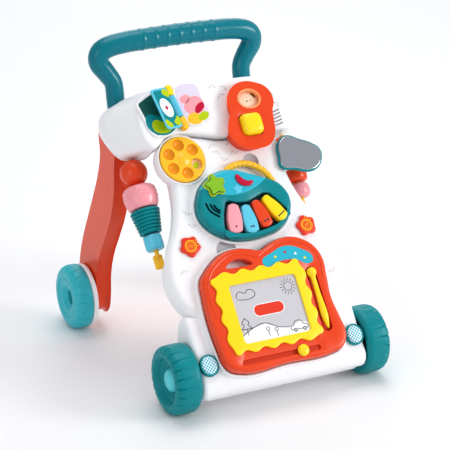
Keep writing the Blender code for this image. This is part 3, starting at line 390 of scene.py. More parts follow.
def dimple(bm, centre, radius, level, depth, index=0, count=32, steps=7):
    """Round bowl-shaped recess; returns the mouth's loop."""
    before = set(bm.faces)
    mouth = ring(bm, ellipse(centre, radius, radius, count), level)
    rings = [mouth]
    for step in range(1, steps):
        angle = pi / 2 * step / steps
        size = radius * (1.0 - (1.0 - cos(angle)) * 0.94)
        rings.append(ring(bm, ellipse(centre, size - 0.4, size - 0.4, count),
                          level - depth * sin(angle)))
    skin(bm, rings)
    cap(bm, rings[-1])
    paint_new(bm, before, index)
    return mouth


def tunnel(bm, outline, high, low, soften=0.6, index=0):
    """Opening right through; returns its upper and lower mouths."""
    before = set(bm.faces)
    top = ring(bm, grown(outline, soften), high)
    upper = ring(bm, outline, high - soften)
    bottom = ring(bm, outline, low)
    skin(bm, [top, upper, bottom])
    paint_new(bm, before, index)
    return top, bottom


def rim_levels(outline, edge, radius, steps, direction=1):
    """Outlines and heights of a rounded rim that ends at height edge."""
    levels = []
    for step in range(1, steps + 1):
        angle = pi / 2 * step / steps
        inset = radius * (1 - cos(angle))
        rise = radius * (1 - sin(angle))
        levels.append((grown(outline, -inset), edge - direction * rise))
    return levels


def plate(outline, low, high, rim=0.6, steps=4, back=0.0, cut=None, index=0):
    """Solid over an outline with rounded rims; cut(bm) makes recesses in the upper face and
    returns their mouths, and the mouths in the lower face."""
    bm = bmesh.new()
    levels = []
    if back:
        levels += rim_levels(outline, low, back, steps, direction=-1)[::-1]
    else:
        levels.append((outline, low))
    levels.append((outline, low + back))
    levels.append((outline, high - rim))
    if rim:
        levels += rim_levels(outline, high, rim, steps)
    clean = [levels[0]]
    for shape, level in levels[1:]:
        if abs(level - clean[-1][1]) > 1e-4:
            clean.append((shape, level))
    rings = [ring(bm, shape, level) for shape, level in clean]
    skin(bm, rings)
    upper, lower = cut(bm) if cut else ((), ())
    cap(bm, rings[-1], upper)
    cap(bm, rings[0], lower)
    if index:
        for face in bm.faces:
            face.material_index = index
    return bm


def lip(outline, gap, width, low, high, index=0):
    """Raised rounded border that runs round an outline."""
    bm = bmesh.new()
    top = high if callable(high) else lambda x, y: high
    bottom = low if callable(low) else lambda x, y: low
    drop = 0.6
    stations = [(gap, bottom, 0.0), (gap, top, drop), (gap + width * 0.3, top, 0.0),
                (gap + width * 0.7, top, 0.0), (gap + width, top, drop),
                (gap + width, bottom, 0.0)]
    rings = []
    for offset, height, less in stations:
        rings.append(ring(bm, grown(outline, offset),
                          lambda x, y, height=height, less=less: height(x, y) - less))
    skin(bm, rings[:3])
    skin(bm, rings[3:])
    cap(bm, rings[2], [rings[3]])
    cap(bm, rings[5], [rings[0]])
    for face in bm.faces:
        face.material_index = index
    return bm


def lathe(profile, steps=48, smooth=0, index=0):
    """Solid turned about its own Z axis from (radius, height) points."""
    bm = bmesh.new()
    points = smooth_line([(r, z) for r, z in profile], smooth) if smooth else \
        [Vector((r, z, 0)) for r, z in profile]
    verts = [bm.verts.new((point.x, 0.0, point.y)) for point in points]
    edges = [bm.edges.new(pair) for pair in zip(verts, verts[1:])]
    closed = profile[0][0] > 0.01 and profile[-1][0] > 0.01
    if closed:
        edges.append(bm.edges.new((verts[-1], verts[0])))
    bmesh.ops.spin(bm, geom=verts + edges, cent=(0, 0, 0), axis=(0, 0, 1), angle=2 * pi,
                   steps=steps, use_merge=True, use_duplicate=False)
    bmesh.ops.remove_doubles(bm, verts=bm.verts, dist=1e-4)
    for face in bm.faces:
        face.material_index = index
    return bm


def tube(path, radius, sides=16, closed=False, index=0):
    """Round tube along a path; radius is a number or one for each point."""
    bm = bmesh.new()
    rings = []
    last = len(path) - 1
    for i, point in enumerate(path):
        before = path[i - 1] if (i or closed) else path[0]
        after = path[(i + 1) % len(path)] if (i < last or closed) else path[last]
        facing = (Vector(after) - Vector(before)).to_track_quat("Z", "Y")
        size = radius[i] if hasattr(radius, "__len__") else radius
        where = Matrix.Translation(point) @ facing.to_matrix().to_4x4()
        made = bmesh.ops.create_circle(bm, cap_ends=False, segments=sides, radius=size,
                                       matrix=where)
        rings.append(list({edge for vert in made["verts"] for edge in vert.link_edges}))
    skin(bm, rings + ([rings[0]] if closed else []))
    if not closed:
        cap(bm, rings[0])
        cap(bm, rings[-1])
    for face in bm.faces:
        face.material_index = index
    return bm


def merge_into(bm, other, matrix=None, index=None):
    """Adds another mesh to this one, moved and painted, and frees it."""
    if matrix is not None:
        other.transform(matrix)
    if index is not None:
        for face in other.faces:
            face.material_index = index
    bmesh.ops.recalc_face_normals(other, faces=other.faces)
    carrier = bpy.data.meshes.new("carrier")
    other.to_mesh(carrier)
    other.free()
    bm.from_mesh(carrier)
    bpy.data.meshes.remove(carrier)
    return bm


def print_on(bm, level, shapes):
    """Thin printed shapes: (outline, material index, layer), each layer a hair above the last."""
    for outline, index, layer in shapes:
        sheet = plate(outline, level - 0.2, level + 0.05 * layer, rim=0.0)
        merge_into(bm, sheet, index=index)
    return bm


def panel_place():
    """Matrix from panel millimetres to the world."""
    sizes = bpy.context.scene.walker_sizes
    up = Vector((0.0, cos(sizes.panel_tilt), sin(sizes.panel_tilt)))
    out = Vector((0.0, -sin(sizes.panel_tilt), cos(sizes.panel_tilt)))
    place = Matrix(((1, 0, 0, 0), (0, up.y, out.y, sizes.panel_foot),
                    (0, up.z, out.z, 0), (0, 0, 0, 1)))
    return place @ SCALE_MM


def add_piece(name, bm, body, materials, replaces=(), place=None, sharp=32.0):
    """Finishes a mesh as a piece that rides on a CAD body."""
    bm.transform(panel_place() if place is None else place)
    bmesh.ops.recalc_face_normals(bm, faces=bm.faces)
    mesh = bpy.data.meshes.new(name)
    bm.to_mesh(mesh)
    bm.free()
    for material in materials:
        mesh.materials.append(finish(material))
    mesh.shade_smooth()
    mesh.set_sharp_from_angle(angle=radians(sharp))
    obj = bpy.data.objects.new(name, mesh)
    bpy.context.scene.collection.objects.link(obj)
    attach(obj, body)
    if replaces:
        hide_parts(*replaces)
    return obj


def dress(node, material):
    """Gives a CAD node that stays visible its finish."""
    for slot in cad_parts[node].material_slots:
        slot.material = finish(material)


# ---- finishes -------------------------------------------------------------------------------
def new_group(name, inputs, outputs):
    group = bpy.data.node_groups.new(name, "ShaderNodeTree")
    for label, kind, value in inputs:
        socket = group.interface.new_socket(label, in_out="INPUT", socket_type=kind)
        if value is not None:
            socket.default_value = value
    for label, kind in outputs:
        group.interface.new_socket(label, in_out="OUTPUT", socket_type=kind)
    return group, group.nodes.new("NodeGroupInput"), group.nodes.new("NodeGroupOutput")


def math_node(tree, operation, first, second=None, clamp=False):
    node = tree.nodes.new("ShaderNodeMath")
    node.operation = operation
    node.use_clamp = clamp
    for socket, value in zip(node.inputs, (first, second)):
        if value is None:
            continue
        if hasattr(value, "links"):
            tree.links.new(value, socket)
        else:
            socket.default_value = value
    return node.outputs[0]


def moulded_surface():
    """Moulded plastic: faint flow mottling, fine tool texture and smears in the gloss."""
    group = bpy.data.node_groups.get("moulded_surface")
    if group:
        return group
    group, start, end = new_group(
        "moulded_surface",
        [("Place", "NodeSocketVector", None), ("Colour", "NodeSocketColor", (1, 1, 1, 1)),
         ("Mottle", "NodeSocketFloat", 0.04), ("Roughness", "NodeSocketFloat", 0.3),
         ("Smear", "NodeSocketFloat", 0.06), ("Grain", "NodeSocketFloat", 0.4)],
        [("Colour", "NodeSocketColor"), ("Roughness", "NodeSocketFloat"),
         ("Height", "NodeSocketFloat")])
    nodes, links = group.nodes, group.links
    flow = nodes.new("ShaderNodeTexNoise")
    flow.inputs["Scale"].default_value = 26.0
    flow.inputs["Detail"].default_value = 3.0
    grain = nodes.new("ShaderNodeTexNoise")
    grain.inputs["Scale"].default_value = 1500.0
    grain.inputs["Detail"].default_value = 1.0
    smear = nodes.new("ShaderNodeTexNoise")
    smear.inputs["Scale"].default_value = 60.0
    smear.inputs["Detail"].default_value = 5.0
    for texture in (flow, grain, smear):
        links.new(start.outputs["Place"], texture.inputs["Vector"])
    shade = math_node(group, "SUBTRACT", flow.outputs["Fac"], 0.5)
    shade = math_node(group, "MULTIPLY", shade, start.outputs["Mottle"])
    shade = math_node(group, "ADD", shade, 1.0)
    tint = nodes.new("ShaderNodeVectorMath")
    tint.operation = "SCALE"
    links.new(start.outputs["Colour"], tint.inputs[0])
    links.new(shade, tint.inputs["Scale"])
    links.new(tint.outputs["Vector"], end.inputs["Colour"])
    gloss = math_node(group, "SUBTRACT", smear.outputs["Fac"], 0.5)
    gloss = math_node(group, "MULTIPLY", gloss, start.outputs["Smear"])
    gloss = math_node(group, "ADD", gloss, start.outputs["Roughness"], clamp=True)
    links.new(gloss, end.inputs["Roughness"])
    height = math_node(group, "MULTIPLY", grain.outputs["Fac"], start.outputs["Grain"])
    links.new(height, end.inputs["Height"])
    return group


def panel_coordinates():
    """Place on the activity panel in millimetres: across, up the slope and out of it."""
    group = bpy.data.node_groups.get("panel_coordinates")
    if group:
        return group
    group, start, end = new_group("panel_coordinates", [("Place", "NodeSocketVector", None)],
                                  [("Across", "NodeSocketFloat"), ("Up", "NodeSocketFloat"),
                                   ("Out", "NodeSocketFloat"), ("Vector", "NodeSocketVector")])
    back = panel_place().inverted()
    mapping = group.nodes.new("ShaderNodeMapping")
    mapping.inputs["Location"].default_value = back.to_translation()
    mapping.inputs["Rotation"].default_value = back.to_euler()
    mapping.inputs["Scale"].default_value = (1 / MM, 1 / MM, 1 / MM)
    split = group.nodes.new("ShaderNodeSeparateXYZ")
    group.links.new(start.outputs["Place"], mapping.inputs["Vector"])
    group.links.new(mapping.outputs["Vector"], split.inputs[0])
    for label, axis in (("Across", "X"), ("Up", "Y"), ("Out", "Z")):
        group.links.new(split.outputs[axis], end.inputs[label])
    group.links.new(mapping.outputs["Vector"], end.inputs["Vector"])
    return group


# name: colour, roughness, coat, mottle, smear, grain
PLASTICS = {
    "white": ("white", 0.30, 0.15, 0.02, 0.08, 0.35),
    "shade_and_mesh_grey": ("shade_and_mesh_grey", 0.5, 0, 0.04, 0.1, 0.5),
    "teal": ("teal", 0.27, 0.2, 0.06, 0.08, 0.3),
    "wheel_teal": ("wheel_teal", 0.42, 0.05, 0.08, 0.12, 0.6),
    "light_teal": ("light_teal", 0.42, 0.05, 0.06, 0.12, 0.6),
    "cyan": ("cyan", 0.30, 0.15, 0.04, 0.08, 0.3), "orange": ("orange", 0.28, 0.2, 0.05, 0.08, 0.3),
    "light_blue": ("light_blue", 0.32, 0.15, 0.04, 0.08, 0.3),
    "yellow": ("yellow", 0.28, 0.175, 0.04, 0.08, 0.3),
    "amber": ("amber", 0.30, 0.15, 0.05, 0.08, 0.3), "pink": ("pink", 0.34, 0.125, 0.04, 0.08, 0.4),
    "green": ("green", 0.30, 0.15, 0.05, 0.08, 0.3),
    "crimson": ("crimson", 0.16, 0.3, 0.08, 0.05, 0.2), "red": ("red", 0.32, 0.15, 0.05, 0.08, 0.3),
    "sky": ("sky", 0.30, 0.175, 0.04, 0.08, 0.3),
    "piano_teal": ("piano_teal", 0.30, 0.175, 0.05, 0.08, 0.3),
    "leaf": ("leaf", 0.4, 0.1, 0.12, 0.1, 0.2), "forest": ("forest", 0.4, 0.1, 0.25, 0.1, 0.2),
    "lilac": ("lilac", 0.4, 0.1, 0.08, 0.1, 0.2), "peach": ("peach", 0.4, 0.1, 0.10, 0.1, 0.2),
    "ink": ("ink", 0.5, 0, 0.05, 0.1, 0.2), "dark": ("dark", 0.6, 0, 0.2, 0.1, 0.8),
    "steel": ("steel", 0.35, 0, 0.05, 0.1, 0.5), "copper": ("copper", 0.45, 0.1, 0.15, 0.1, 0.5),
    "mirror": ("mirror", 0.06, 0, 0.03, 0.04, 0.05),
    "bowl": ("bowl", 0.34, 0.1, 0.05, 0.08, 0.3),
    "peach_rim": ("peach_rim", 0.34, 0.15, 0.05, 0.08, 0.3),
    "cream": ("cream", 0.4, 0.1, 0.08, 0.08, 0.2),
    "well_shade_teal": ("well_shade_teal", 0.45, 0.05, 0.06, 0.1, 0.4),
    "groove_shade_orange": ("groove_shade_orange", 0.4, 0.1, 0.06, 0.1, 0.4),
}
METALS = ("steel", "mirror")


def finish(name):
    """The named finish, made once."""
    ready = bpy.data.materials.get(name)
    if ready:
        return ready
    special = {"piano_case": piano_case_finish, "screen": screen_finish,
               "lamp_check": lamp_check_finish}
    if name in special:
        return special[name](name)
    return plastic(name)[0]


def plastic(name, source=None):
    """A plastic finish with its own node tree; returns the material and its surface node."""
    colour_name, roughness, coat, mottle, smear, grain = PLASTICS[source or name]
    colour = getattr(bpy.context.scene.walker_colours, colour_name)
    material = bpy.data.materials.new(name)
    material.use_nodes = True
    nodes, links = material.node_tree.nodes, material.node_tree.links
    shader = nodes["Principled BSDF"]
    shader.inputs["Coat Weight"].default_value = coat
    shader.inputs["Specular IOR Level"].default_value = PLASTIC_SPECULAR
    shader.inputs["Coat Roughness"].default_value = 0.12
    shader.inputs["Metallic"].default_value = 1.0 if name in METALS else 0.0
    place = nodes.new("ShaderNodeTexCoord")
    surface = nodes.new("ShaderNodeGroup")
    surface.node_tree = moulded_surface()
    surface.inputs["Colour"].default_value = (*colour, 1.0)
    surface.inputs["Mottle"].default_value = mottle
    surface.inputs["Roughness"].default_value = roughness
    surface.inputs["Smear"].default_value = smear
    surface.inputs["Grain"].default_value = grain
    bump = nodes.new("ShaderNodeBump")
    bump.inputs["Strength"].default_value = 0.25
    bump.inputs["Distance"].default_value = 0.0002
    links.new(place.outputs["Object"], surface.inputs["Place"])
    links.new(surface.outputs["Colour"], shader.inputs["Base Color"])
    links.new(surface.outputs["Roughness"], shader.inputs["Roughness"])
    links.new(surface.outputs["Height"], bump.inputs["Height"])
    links.new(bump.outputs["Normal"], shader.inputs["Normal"])
    material.diffuse_color = (*colour, 1.0)
    return material, surface


def two_tone(material, surface, mask, other):
    """Mixes a second colour into a finish by a mask."""
    tree = material.node_tree
    mix = tree.nodes.new("ShaderNodeMix")
    mix.data_type = "RGBA"
    mix.inputs["A"].default_value = surface.inputs["Colour"].default_value
    mix.inputs["B"].default_value = (*getattr(bpy.context.scene.walker_colours, other), 1.0)
    tree.links.new(mask, mix.inputs["Factor"])
    tree.links.new(mix.outputs["Result"], surface.inputs["Colour"])
    return mix


def coordinates_in(material):
    nodes, links = material.node_tree.nodes, material.node_tree.links
    place = nodes.new("ShaderNodeTexCoord")
    where = nodes.new("ShaderNodeGroup")
    where.node_tree = panel_coordinates()
    links.new(place.outputs["Object"], where.inputs["Place"])
    return where


def piano_case_finish(name):
    """Teal case with a light sky field above an arc."""
    material, surface = plastic(name, "piano_teal")
    where = coordinates_in(material)
    tree = material.node_tree
    across = math_node(tree, "SUBTRACT", where.outputs["Across"], -6.0)
    bow = math_node(tree, "MULTIPLY", across, across)
    bow = math_node(tree, "MULTIPLY", bow, 0.0068)
    edge = math_node(tree, "ADD", bow, 313.5)
    above = math_node(tree, "SUBTRACT", where.outputs["Up"], edge)
    mask = math_node(tree, "MULTIPLY", above, 4.0, clamp=True)
    high = math_node(tree, "SUBTRACT", where.outputs["Out"], 7.0)
    high = math_node(tree, "MULTIPLY", high, 2.0, clamp=True)
    mask = math_node(tree, "MULTIPLY", mask, high)
    two_tone(material, surface, mask, "sky")
    return material


def screen_finish(name):
    """Pale screen with the fine diagonal mesh of a magnetic drawing sheet."""
    material, surface = plastic(name, "shade_and_mesh_grey")
    surface.inputs["Colour"].default_value = (*bpy.context.scene.walker_colours.grey, 1.0)
    where = coordinates_in(material)
    tree = material.node_tree
    check = tree.nodes.new("ShaderNodeTexChecker")
    turn = tree.nodes.new("ShaderNodeMapping")
    turn.inputs["Rotation"].default_value = (0.0, 0.0, radians(45))
    tree.links.new(where.outputs["Vector"], turn.inputs["Vector"])
    flat = tree.nodes.new("ShaderNodeVectorMath")
    flat.operation = "MULTIPLY_ADD"
    flat.inputs[1].default_value = (1.0, 1.0, 0.0)
    flat.inputs[2].default_value = (0.0, 0.0, 0.5)
    tree.links.new(turn.outputs["Vector"], flat.inputs[0])
    tree.links.new(flat.outputs["Vector"], check.inputs["Vector"])
    check.inputs["Scale"].default_value = 0.9
    mesh_mask = math_node(tree, "MULTIPLY", check.outputs["Fac"], 0.45)
    two_tone(material, surface, mesh_mask, "shade_and_mesh_grey")
    return material


def lamp_check_finish(name):
    """White lens with a small teal check."""
    material, surface = plastic(name, "white")
    where = coordinates_in(material)
    tree = material.node_tree
    check = tree.nodes.new("ShaderNodeTexChecker")
    flat = tree.nodes.new("ShaderNodeVectorMath")
    flat.operation = "MULTIPLY_ADD"
    flat.inputs[1].default_value = (1.0, 1.0, 0.0)
    flat.inputs[2].default_value = (0.0, 0.0, 0.5)
    tree.links.new(where.outputs["Vector"], flat.inputs[0])
    tree.links.new(flat.outputs["Vector"], check.inputs["Vector"])
    check.inputs["Scale"].default_value = 0.42
    two_tone(material, surface, check.outputs["Fac"], "light_teal")
    return material


# ---- body -----------------------------------------------------------------------------------
class WALKER_OT_body(Operator):
    """Front panel with its finger recesses and raised borders, back covers and axle housing"""
    bl_idname = "walker.body"
    bl_label = "Body shells"

    def execute(self, context):
        whole = mirrored_outline(BODY_FLANK, HEAD_LEDGE)
        panel = plate(whole, -15.0, 0.0, rim=10.0, steps=8, cut=panel_recesses)
        add_piece("front_panel", panel, "chassis", ["white", "shade_and_mesh_grey"],
                  ["panel_shell"])
        hip = plate(smooth_loop(mirrored(HIP_BACK_HALF)), -42.0, -15.4, rim=0.0, steps=7, back=12.0)
        add_piece("hip_back", hip, "chassis", ["white"], ["hip_cover"])
        crest = [(83.5, 398)] + HEAD_LEDGE[1:-1] + [(-84.5, 404)]
        waist = plate(mirrored_outline(WAIST_FLANK, crest), -29.0, -15.4, rim=0.0, steps=5,
                      back=7.0)
        add_piece("waist_back", waist, "chassis", ["white"], ["waist_cover"])
        add_piece("panel_borders", self.borders(), "chassis", ["white", "shade_and_mesh_grey"])
        self.axle_housing()
        return {"FINISHED"}

    def borders(self):
        """Raised white borders round the toys' seats."""
        bm = lip(smooth_loop(PIANO_OUTLINE), 0.9, 3.4, -0.6, 3.2)
        merge_into(bm, lip(smooth_loop(BOARD_OUTLINE), 0.9, 3.2, -5.0, 2.4))
        dish = plate(ellipse(CUP_WHEEL_CENTRE, 37.0, 37.0, 64), -13.0, 0.1, rim=4.0)
        merge_into(bm, dish)
        merge_into(bm, lip(ellipse(CUP_WHEEL_CENTRE, 33.0, 33.0, 64), 0.8, 2.6, -0.6, 3.4))
        merge_into(bm, lip(smooth_loop(DIAL_HOUSING[::-1]), 0.4, 3.2,
                           lambda x, y: seat_level(y) - 0.8, lambda x, y: seat_level(y) + 3.0))
        # Embossed cloud arcs, painted grey as painted shade.
        for x, y, level, turn in CLOUD_MARKS:
            place = Matrix.Translation((x, y, 0)) @ Matrix.Rotation(radians(turn), 4, "Z")
            for across, up, size in ((-3.6, 0.0, 2.6), (0.6, 1.6, 3.2), (4.6, -0.8, 2.2)):
                arc = [(across + size * cos(radians(a)), up + size * sin(radians(a)))
                       for a in (10, 50, 90, 130, 165)]
                mark = plate(stroke(arc, 0.5, 2), level - 0.2, level + 0.25, rim=0.0)
                merge_into(bm, mark, place, 1)
        return bm

    def axle_housing(self):
        """Rounded housing under the panel with a screwed cover underneath."""
        housing = plate(smooth_loop(BASE_PROFILE), -125.5, 125.5, rim=7.0, steps=6, back=7.0)
        bmesh.ops.bisect_plane(housing, geom=housing.verts[:] + housing.edges[:] + housing.faces[:],
                               plane_co=(0, 22.8, 0), plane_no=(0, -1, 0), clear_outer=True)
        edges = [edge for edge in housing.edges if edge.is_boundary]
        bmesh.ops.edgeloop_fill(housing, edges=edges)
        add_piece("axle_housing", housing, "chassis", ["white"], ["base_shell"],
                  WORLD_MM @ SIDE_ON)
        screws = [(x, y) for x in (-98, 0, 98) for y in (-184, -141)]

        # Screw holes in the cover, painted grey inside as painted shade.
        def screw_holes(bm):
            return [dimple(bm, at, 4.0, 0.0, 2.0, 1, 20, 4) for at in screws], ()

        cover = plate(rounded_box(-118.0, 118.0, -194.0, -131.0, 8.0), -3.4, 0.0, rim=0.5,
                      cut=screw_holes)
        under = Matrix(((-1, 0, 0, 0), (0, 1, 0, 0), (0, 0, -1, 22.0), (0, 0, 0, 1)))
        add_piece("housing_cover", cover, "chassis", ["white", "shade_and_mesh_grey"],
                  ["base_cover"], WORLD_MM @ under)


def seat_level(up):
    """Surface under the dial housing, which crosses from the waist onto the head."""
    return HEAD_FRONT_H if up > 401.0 else 0.0


def mirrored_outline(flank, crest):
    """Closed smooth outline from a right flank, the crest at the top and the mirrored flank."""
    left = [(-x, y) for x, y in reversed(flank) if x > 0.01]
    return smooth_loop(flank + crest + left)


def panel_recesses(bm):
    """Finger recesses beside the piano, their bowls painted grey as painted shade."""
    return [dimple(bm, (37.0, 362.0), 12.0, 0.0, 5.0, 1),
            dimple(bm, (-38.0, 243.0), 15.0, 0.0, 6.0, 1)], ()


class WALKER_OT_head(Operator):
    """Two-lobed head in two halves, with the sound slots beside the paddle"""
    bl_idname = "walker.head"
    bl_label = "Head"

    def execute(self, context):
        add_piece("head_face", self.front(), "chassis", ["white", "shade_and_mesh_grey"],
                  ["head_front"])
        add_piece("head_shell", self.rear(), "chassis", ["white"], ["head_back"])
        return {"FINISHED"}

    def front(self):
        bm = bmesh.new()
        wide, face = smooth_loop(HEAD_WIDE_EDGE, 4), smooth_loop(HEAD_FRONT_EDGE, 4)
        rings = []
        for height, share in between(HEAD_FRONT_BLENDS, 5):
            shape = [Vector(a).lerp(Vector(b), share) for a, b in zip(wide, face)]
            rings.append(ring(bm, shape, height))
        for shape, level in rim_levels(face, HEAD_FRONT_H, 5.0, 6):
            rings.append(ring(bm, shape, level))
        skin(bm, rings)
        # Sound slots, painted grey inside as painted shade.
        slots = []
        for i in range(5):
            low = 405.5 + 5.0 * i
            line = stroke([(83.0, low), (91.0, low + 1.2), (99.0, low + 3.4)], 1.7, 3)
            slots.append(pocket(bm, line, HEAD_FRONT_H, 1.6, 0.3, 1))
        cap(bm, rings[-1], slots)
        cap(bm, rings[0])
        return bm

    def rear(self):
        bm = bmesh.new()
        wide = smooth_loop(HEAD_WIDE_EDGE, 4)
        rows = [(-45.4, 1, 1, 457), (-49, 1, 1, 457), (-65, 0.993, 0.824, 467.6),
                (-82, 0.944, 0.669, 473.2), (-95, 0.853, 0.524, 475.5), (-102, 0.741, 0.337, 474.5),
                (-104, 0.60, 0.21, 474.5), (-104.6, 0.40, 0.1, 474.5)]
        rings = []
        for height, across, along, middle in between(rows, 4):
            shape = [(x * across, middle + (y - HEAD_MIDDLE_S) * along) for x, y in wide]
            rings.append(ring(bm, shape, height))
        skin(bm, rings)
        cap(bm, rings[0])
        cap(bm, rings[-1])
        return bm


class WALKER_OT_handle(Operator):
    """Bent push handle whose grip carries raised rings"""
    bl_idname = "walker.handle"
    bl_label = "Push handle"

    def execute(self, context):
        sizes = context.scene.walker_sizes
        half = [(100, 120, 334, 13.0), (100.7, 123.6, 353, 13.0), (101.5, 128, 376, 13.1),
                (110, 131, 391, 13.8), (120.5, 133, 407, 14.6), (118.5, 133.5, 421, 15.0),
                (104, 133.5, 429, 15.2), (78, 133.5, 432.2, 15.2)]
        grip = [(x, 133.2, 433.9 - 1.7 * (x / 78) ** 2, 15.3) for x in (60, 45, 30, 15)]
        side = half + grip
        rows = side + [(0, 133, 434, 15.3)] + [(-x, y, z, r) for x, y, z, r in reversed(side)]
        path, radii = [], []
        spacing = sizes.rib_spacing / MM
        middle = (sizes.grip_ribs - 1) / 2
        for x, y, z, radius in between(rows, 12):
            nearest = max(-middle, min(middle, round(x / spacing)))
            away = (x - nearest * spacing) / 3.4
            if z > 425 and abs(away) < 1:
                radius += 0.75 * (0.5 + 0.5 * cos(pi * away))
            path.append((x, y, min(z, 450.0 - radius)))
            radii.append(radius)
        add_piece("push_handle", tube(path, radii, 32), "chassis", ["teal"],
                  ["handle"], WORLD_MM, sharp=60)
        return {"FINISHED"}


class WALKER_OT_legs(Operator):
    """Two curved rear legs with a hub boss at the axle"""
    bl_idname = "walker.legs"
    bl_label = "Rear legs"

    def execute(self, context):
        for side, label in ((-1, "left"), (1, "right")):
            leg = plate(smooth_loop(LEG_OUTLINE), -11.75, 11.75, rim=5.0, steps=6, back=5.0)
            boss = plate(ellipse((AXLE_Y, AXLE_Z), 17.0, 17.0, 40), side * 11.0 - 1.2,
                         side * 11.0 + 1.2, rim=0.8, back=0.8)
            merge_into(leg, boss)
            leg.transform(Matrix.Translation((0, 0, side * 122.75)))
            add_piece("leg_" + label, leg, "chassis", ["orange"], ["rear_leg_" + label],
                      WORLD_MM @ SIDE_ON)
        return {"FINISHED"}


# ---- wheels ---------------------------------------------------------------------------------
FRONT_TREAD = [(3.4, 24), (18, 24), (18.8, 25.2), (23, 25.6), (24.2, 27), (28.5, 28.8),
               (29.6, 30.8), (32.6, 35.2), (34.2, 36.7), (37.5, 37), (41, 36.4), (44.5, 34.2),
               (46.4, 31.5), (47.5, 27.5), (47.7, 24), (47.7, 9), (47.2, 5), (45.6, 2.2),
               (43.4, 0.6), (41, 0.1), (37.4, 0.3), (36.4, 2), (34.5, 15), (9, 15), (9, 1),
               (3.4, 1)]
REAR_TREAD = [(3.4, 8), (10.4, 8), (11, 8.6), (11, 17.4), (11.8, 18.2), (18, 21.5), (19, 22.6),
              (27, 24.2), (28, 23.4), (30, 23.6), (31, 24.8), (36, 25), (40, 24.2), (43.4, 22.4),
              (45.8, 19.4), (47.2, 16), (47.7, 12.6), (47.7, 5), (47.2, 2), (46.2, 0.4), (3.4, 0.3)]


def tread(profile, grooves, start, depth, index=0):
    """Wheel turned from its profile with grooves across the outer shoulder."""
    per_groove = 8
    bm = lathe(profile, grooves * per_groove, index=index)
    for vert in bm.verts:
        radius = sqrt(vert.co.x ** 2 + vert.co.y ** 2)
        if radius < 40.5 or vert.co.z < start:
            continue
        angle = Vector((vert.co.x, vert.co.y)).angle_signed(Vector((1, 0)), 0.0)
        step = round((angle % (2 * pi)) / (2 * pi) * grooves * per_groove) % per_groove
        if step == 0:
            vert.co.xy *= 1 - depth / radius
            vert.co.z -= depth * 0.5 if vert.co.z > 30 else 0.0
    return bm


class WALKER_OT_front_wheels(Operator):
    """Front wheels with grooved shoulders, dished faces and hub caps"""
    bl_idname = "walker.front_wheels"
    bl_label = "Front wheels"

    def execute(self, context):
        grooves = context.scene.walker_sizes.tread_grooves
        for side, label in ((-1, "left"), (1, "right")):
            wheel = tread(FRONT_TREAD, grooves, 20.0, 1.5)
            # Faces of the hollow inner side are painted near black as painted shade.
            for face in wheel.faces:
                middle = face.calc_center_median()
                if middle.z < 15.5 and middle.xy.length < 36.8:
                    face.material_index = 1
            turn = Matrix.Rotation(radians(90 * side), 4, "Y")
            place = WORLD_MM @ Matrix.Translation((side * 127.0, -AXLE_Y, AXLE_Z)) @ turn
            add_piece("front_wheel_" + label, wheel, "front_wheel_" + label,
                      ["wheel_teal", "dark"], ["front_tyre_" + label], place)
            hub = lathe([(0, 33), (4, 32.9), (9, 32.4), (12.6, 31.2), (15, 29.2), (16.4, 26.6),
                         (16.5, 24.1), (0, 24.1)], 48)
            add_piece("hub_cap_" + label, hub, "front_wheel_" + label, ["cyan"],
                      ["front_cap_" + label], place)
        return {"FINISHED"}


class WALKER_OT_rear_wheels(Operator):
    """Rear wheels with white inner discs"""
    bl_idname = "walker.rear_wheels"
    bl_label = "Rear wheels"

    def execute(self, context):
        grooves = context.scene.walker_sizes.tread_grooves
        for side, label in ((-1, "left"), (1, "right")):
            turn = Matrix.Rotation(radians(90 * side), 4, "Y")
            place = WORLD_MM @ Matrix.Translation((side * 145.0, AXLE_Y, AXLE_Z)) @ turn
            wheel = tread(REAR_TREAD, grooves, 8.0, 1.2)
            add_piece("rear_wheel_" + label, wheel, "rear_wheel_" + label,
                      ["light_teal"], ["rear_tyre_" + label], place)
            disc = lathe([(3.4, 8.6), (44, 8.6), (46, 7.6), (46.6, 6.4), (46.6, 2.6), (46, 1.2),
                          (44, 0.3), (38, 0), (36, 1.6), (22, 1.8), (20, 0), (3.4, 0)], 72)
            place = WORLD_MM @ Matrix.Translation((side * 136.0, AXLE_Y, AXLE_Z)) @ turn
            add_piece("inner_disc_" + label, disc, "rear_wheel_" + label, ["white"],
                      ["rear_disc_" + label], place)
        return {"FINISHED"}


# ---- trim -----------------------------------------------------------------------------------
def splash_outline(grow=0.0):
    """Irregular splash with five fat lobes."""
    rows = [(14.4, 0), (15.0, 14), (12.3, 42), (14.6, 66), (15.2, 82), (12.2, 112), (14.8, 138),
            (15.0, 152), (12.4, 184), (15.2, 208), (15.0, 224), (12.2, 254), (14.6, 280),
            (15.2, 296), (12.6, 328)]
    knots = [((radius + grow) * cos(radians(angle)), (radius + grow) * sin(radians(angle)))
             for radius, angle in rows]
    return smooth_loop(knots, 5)


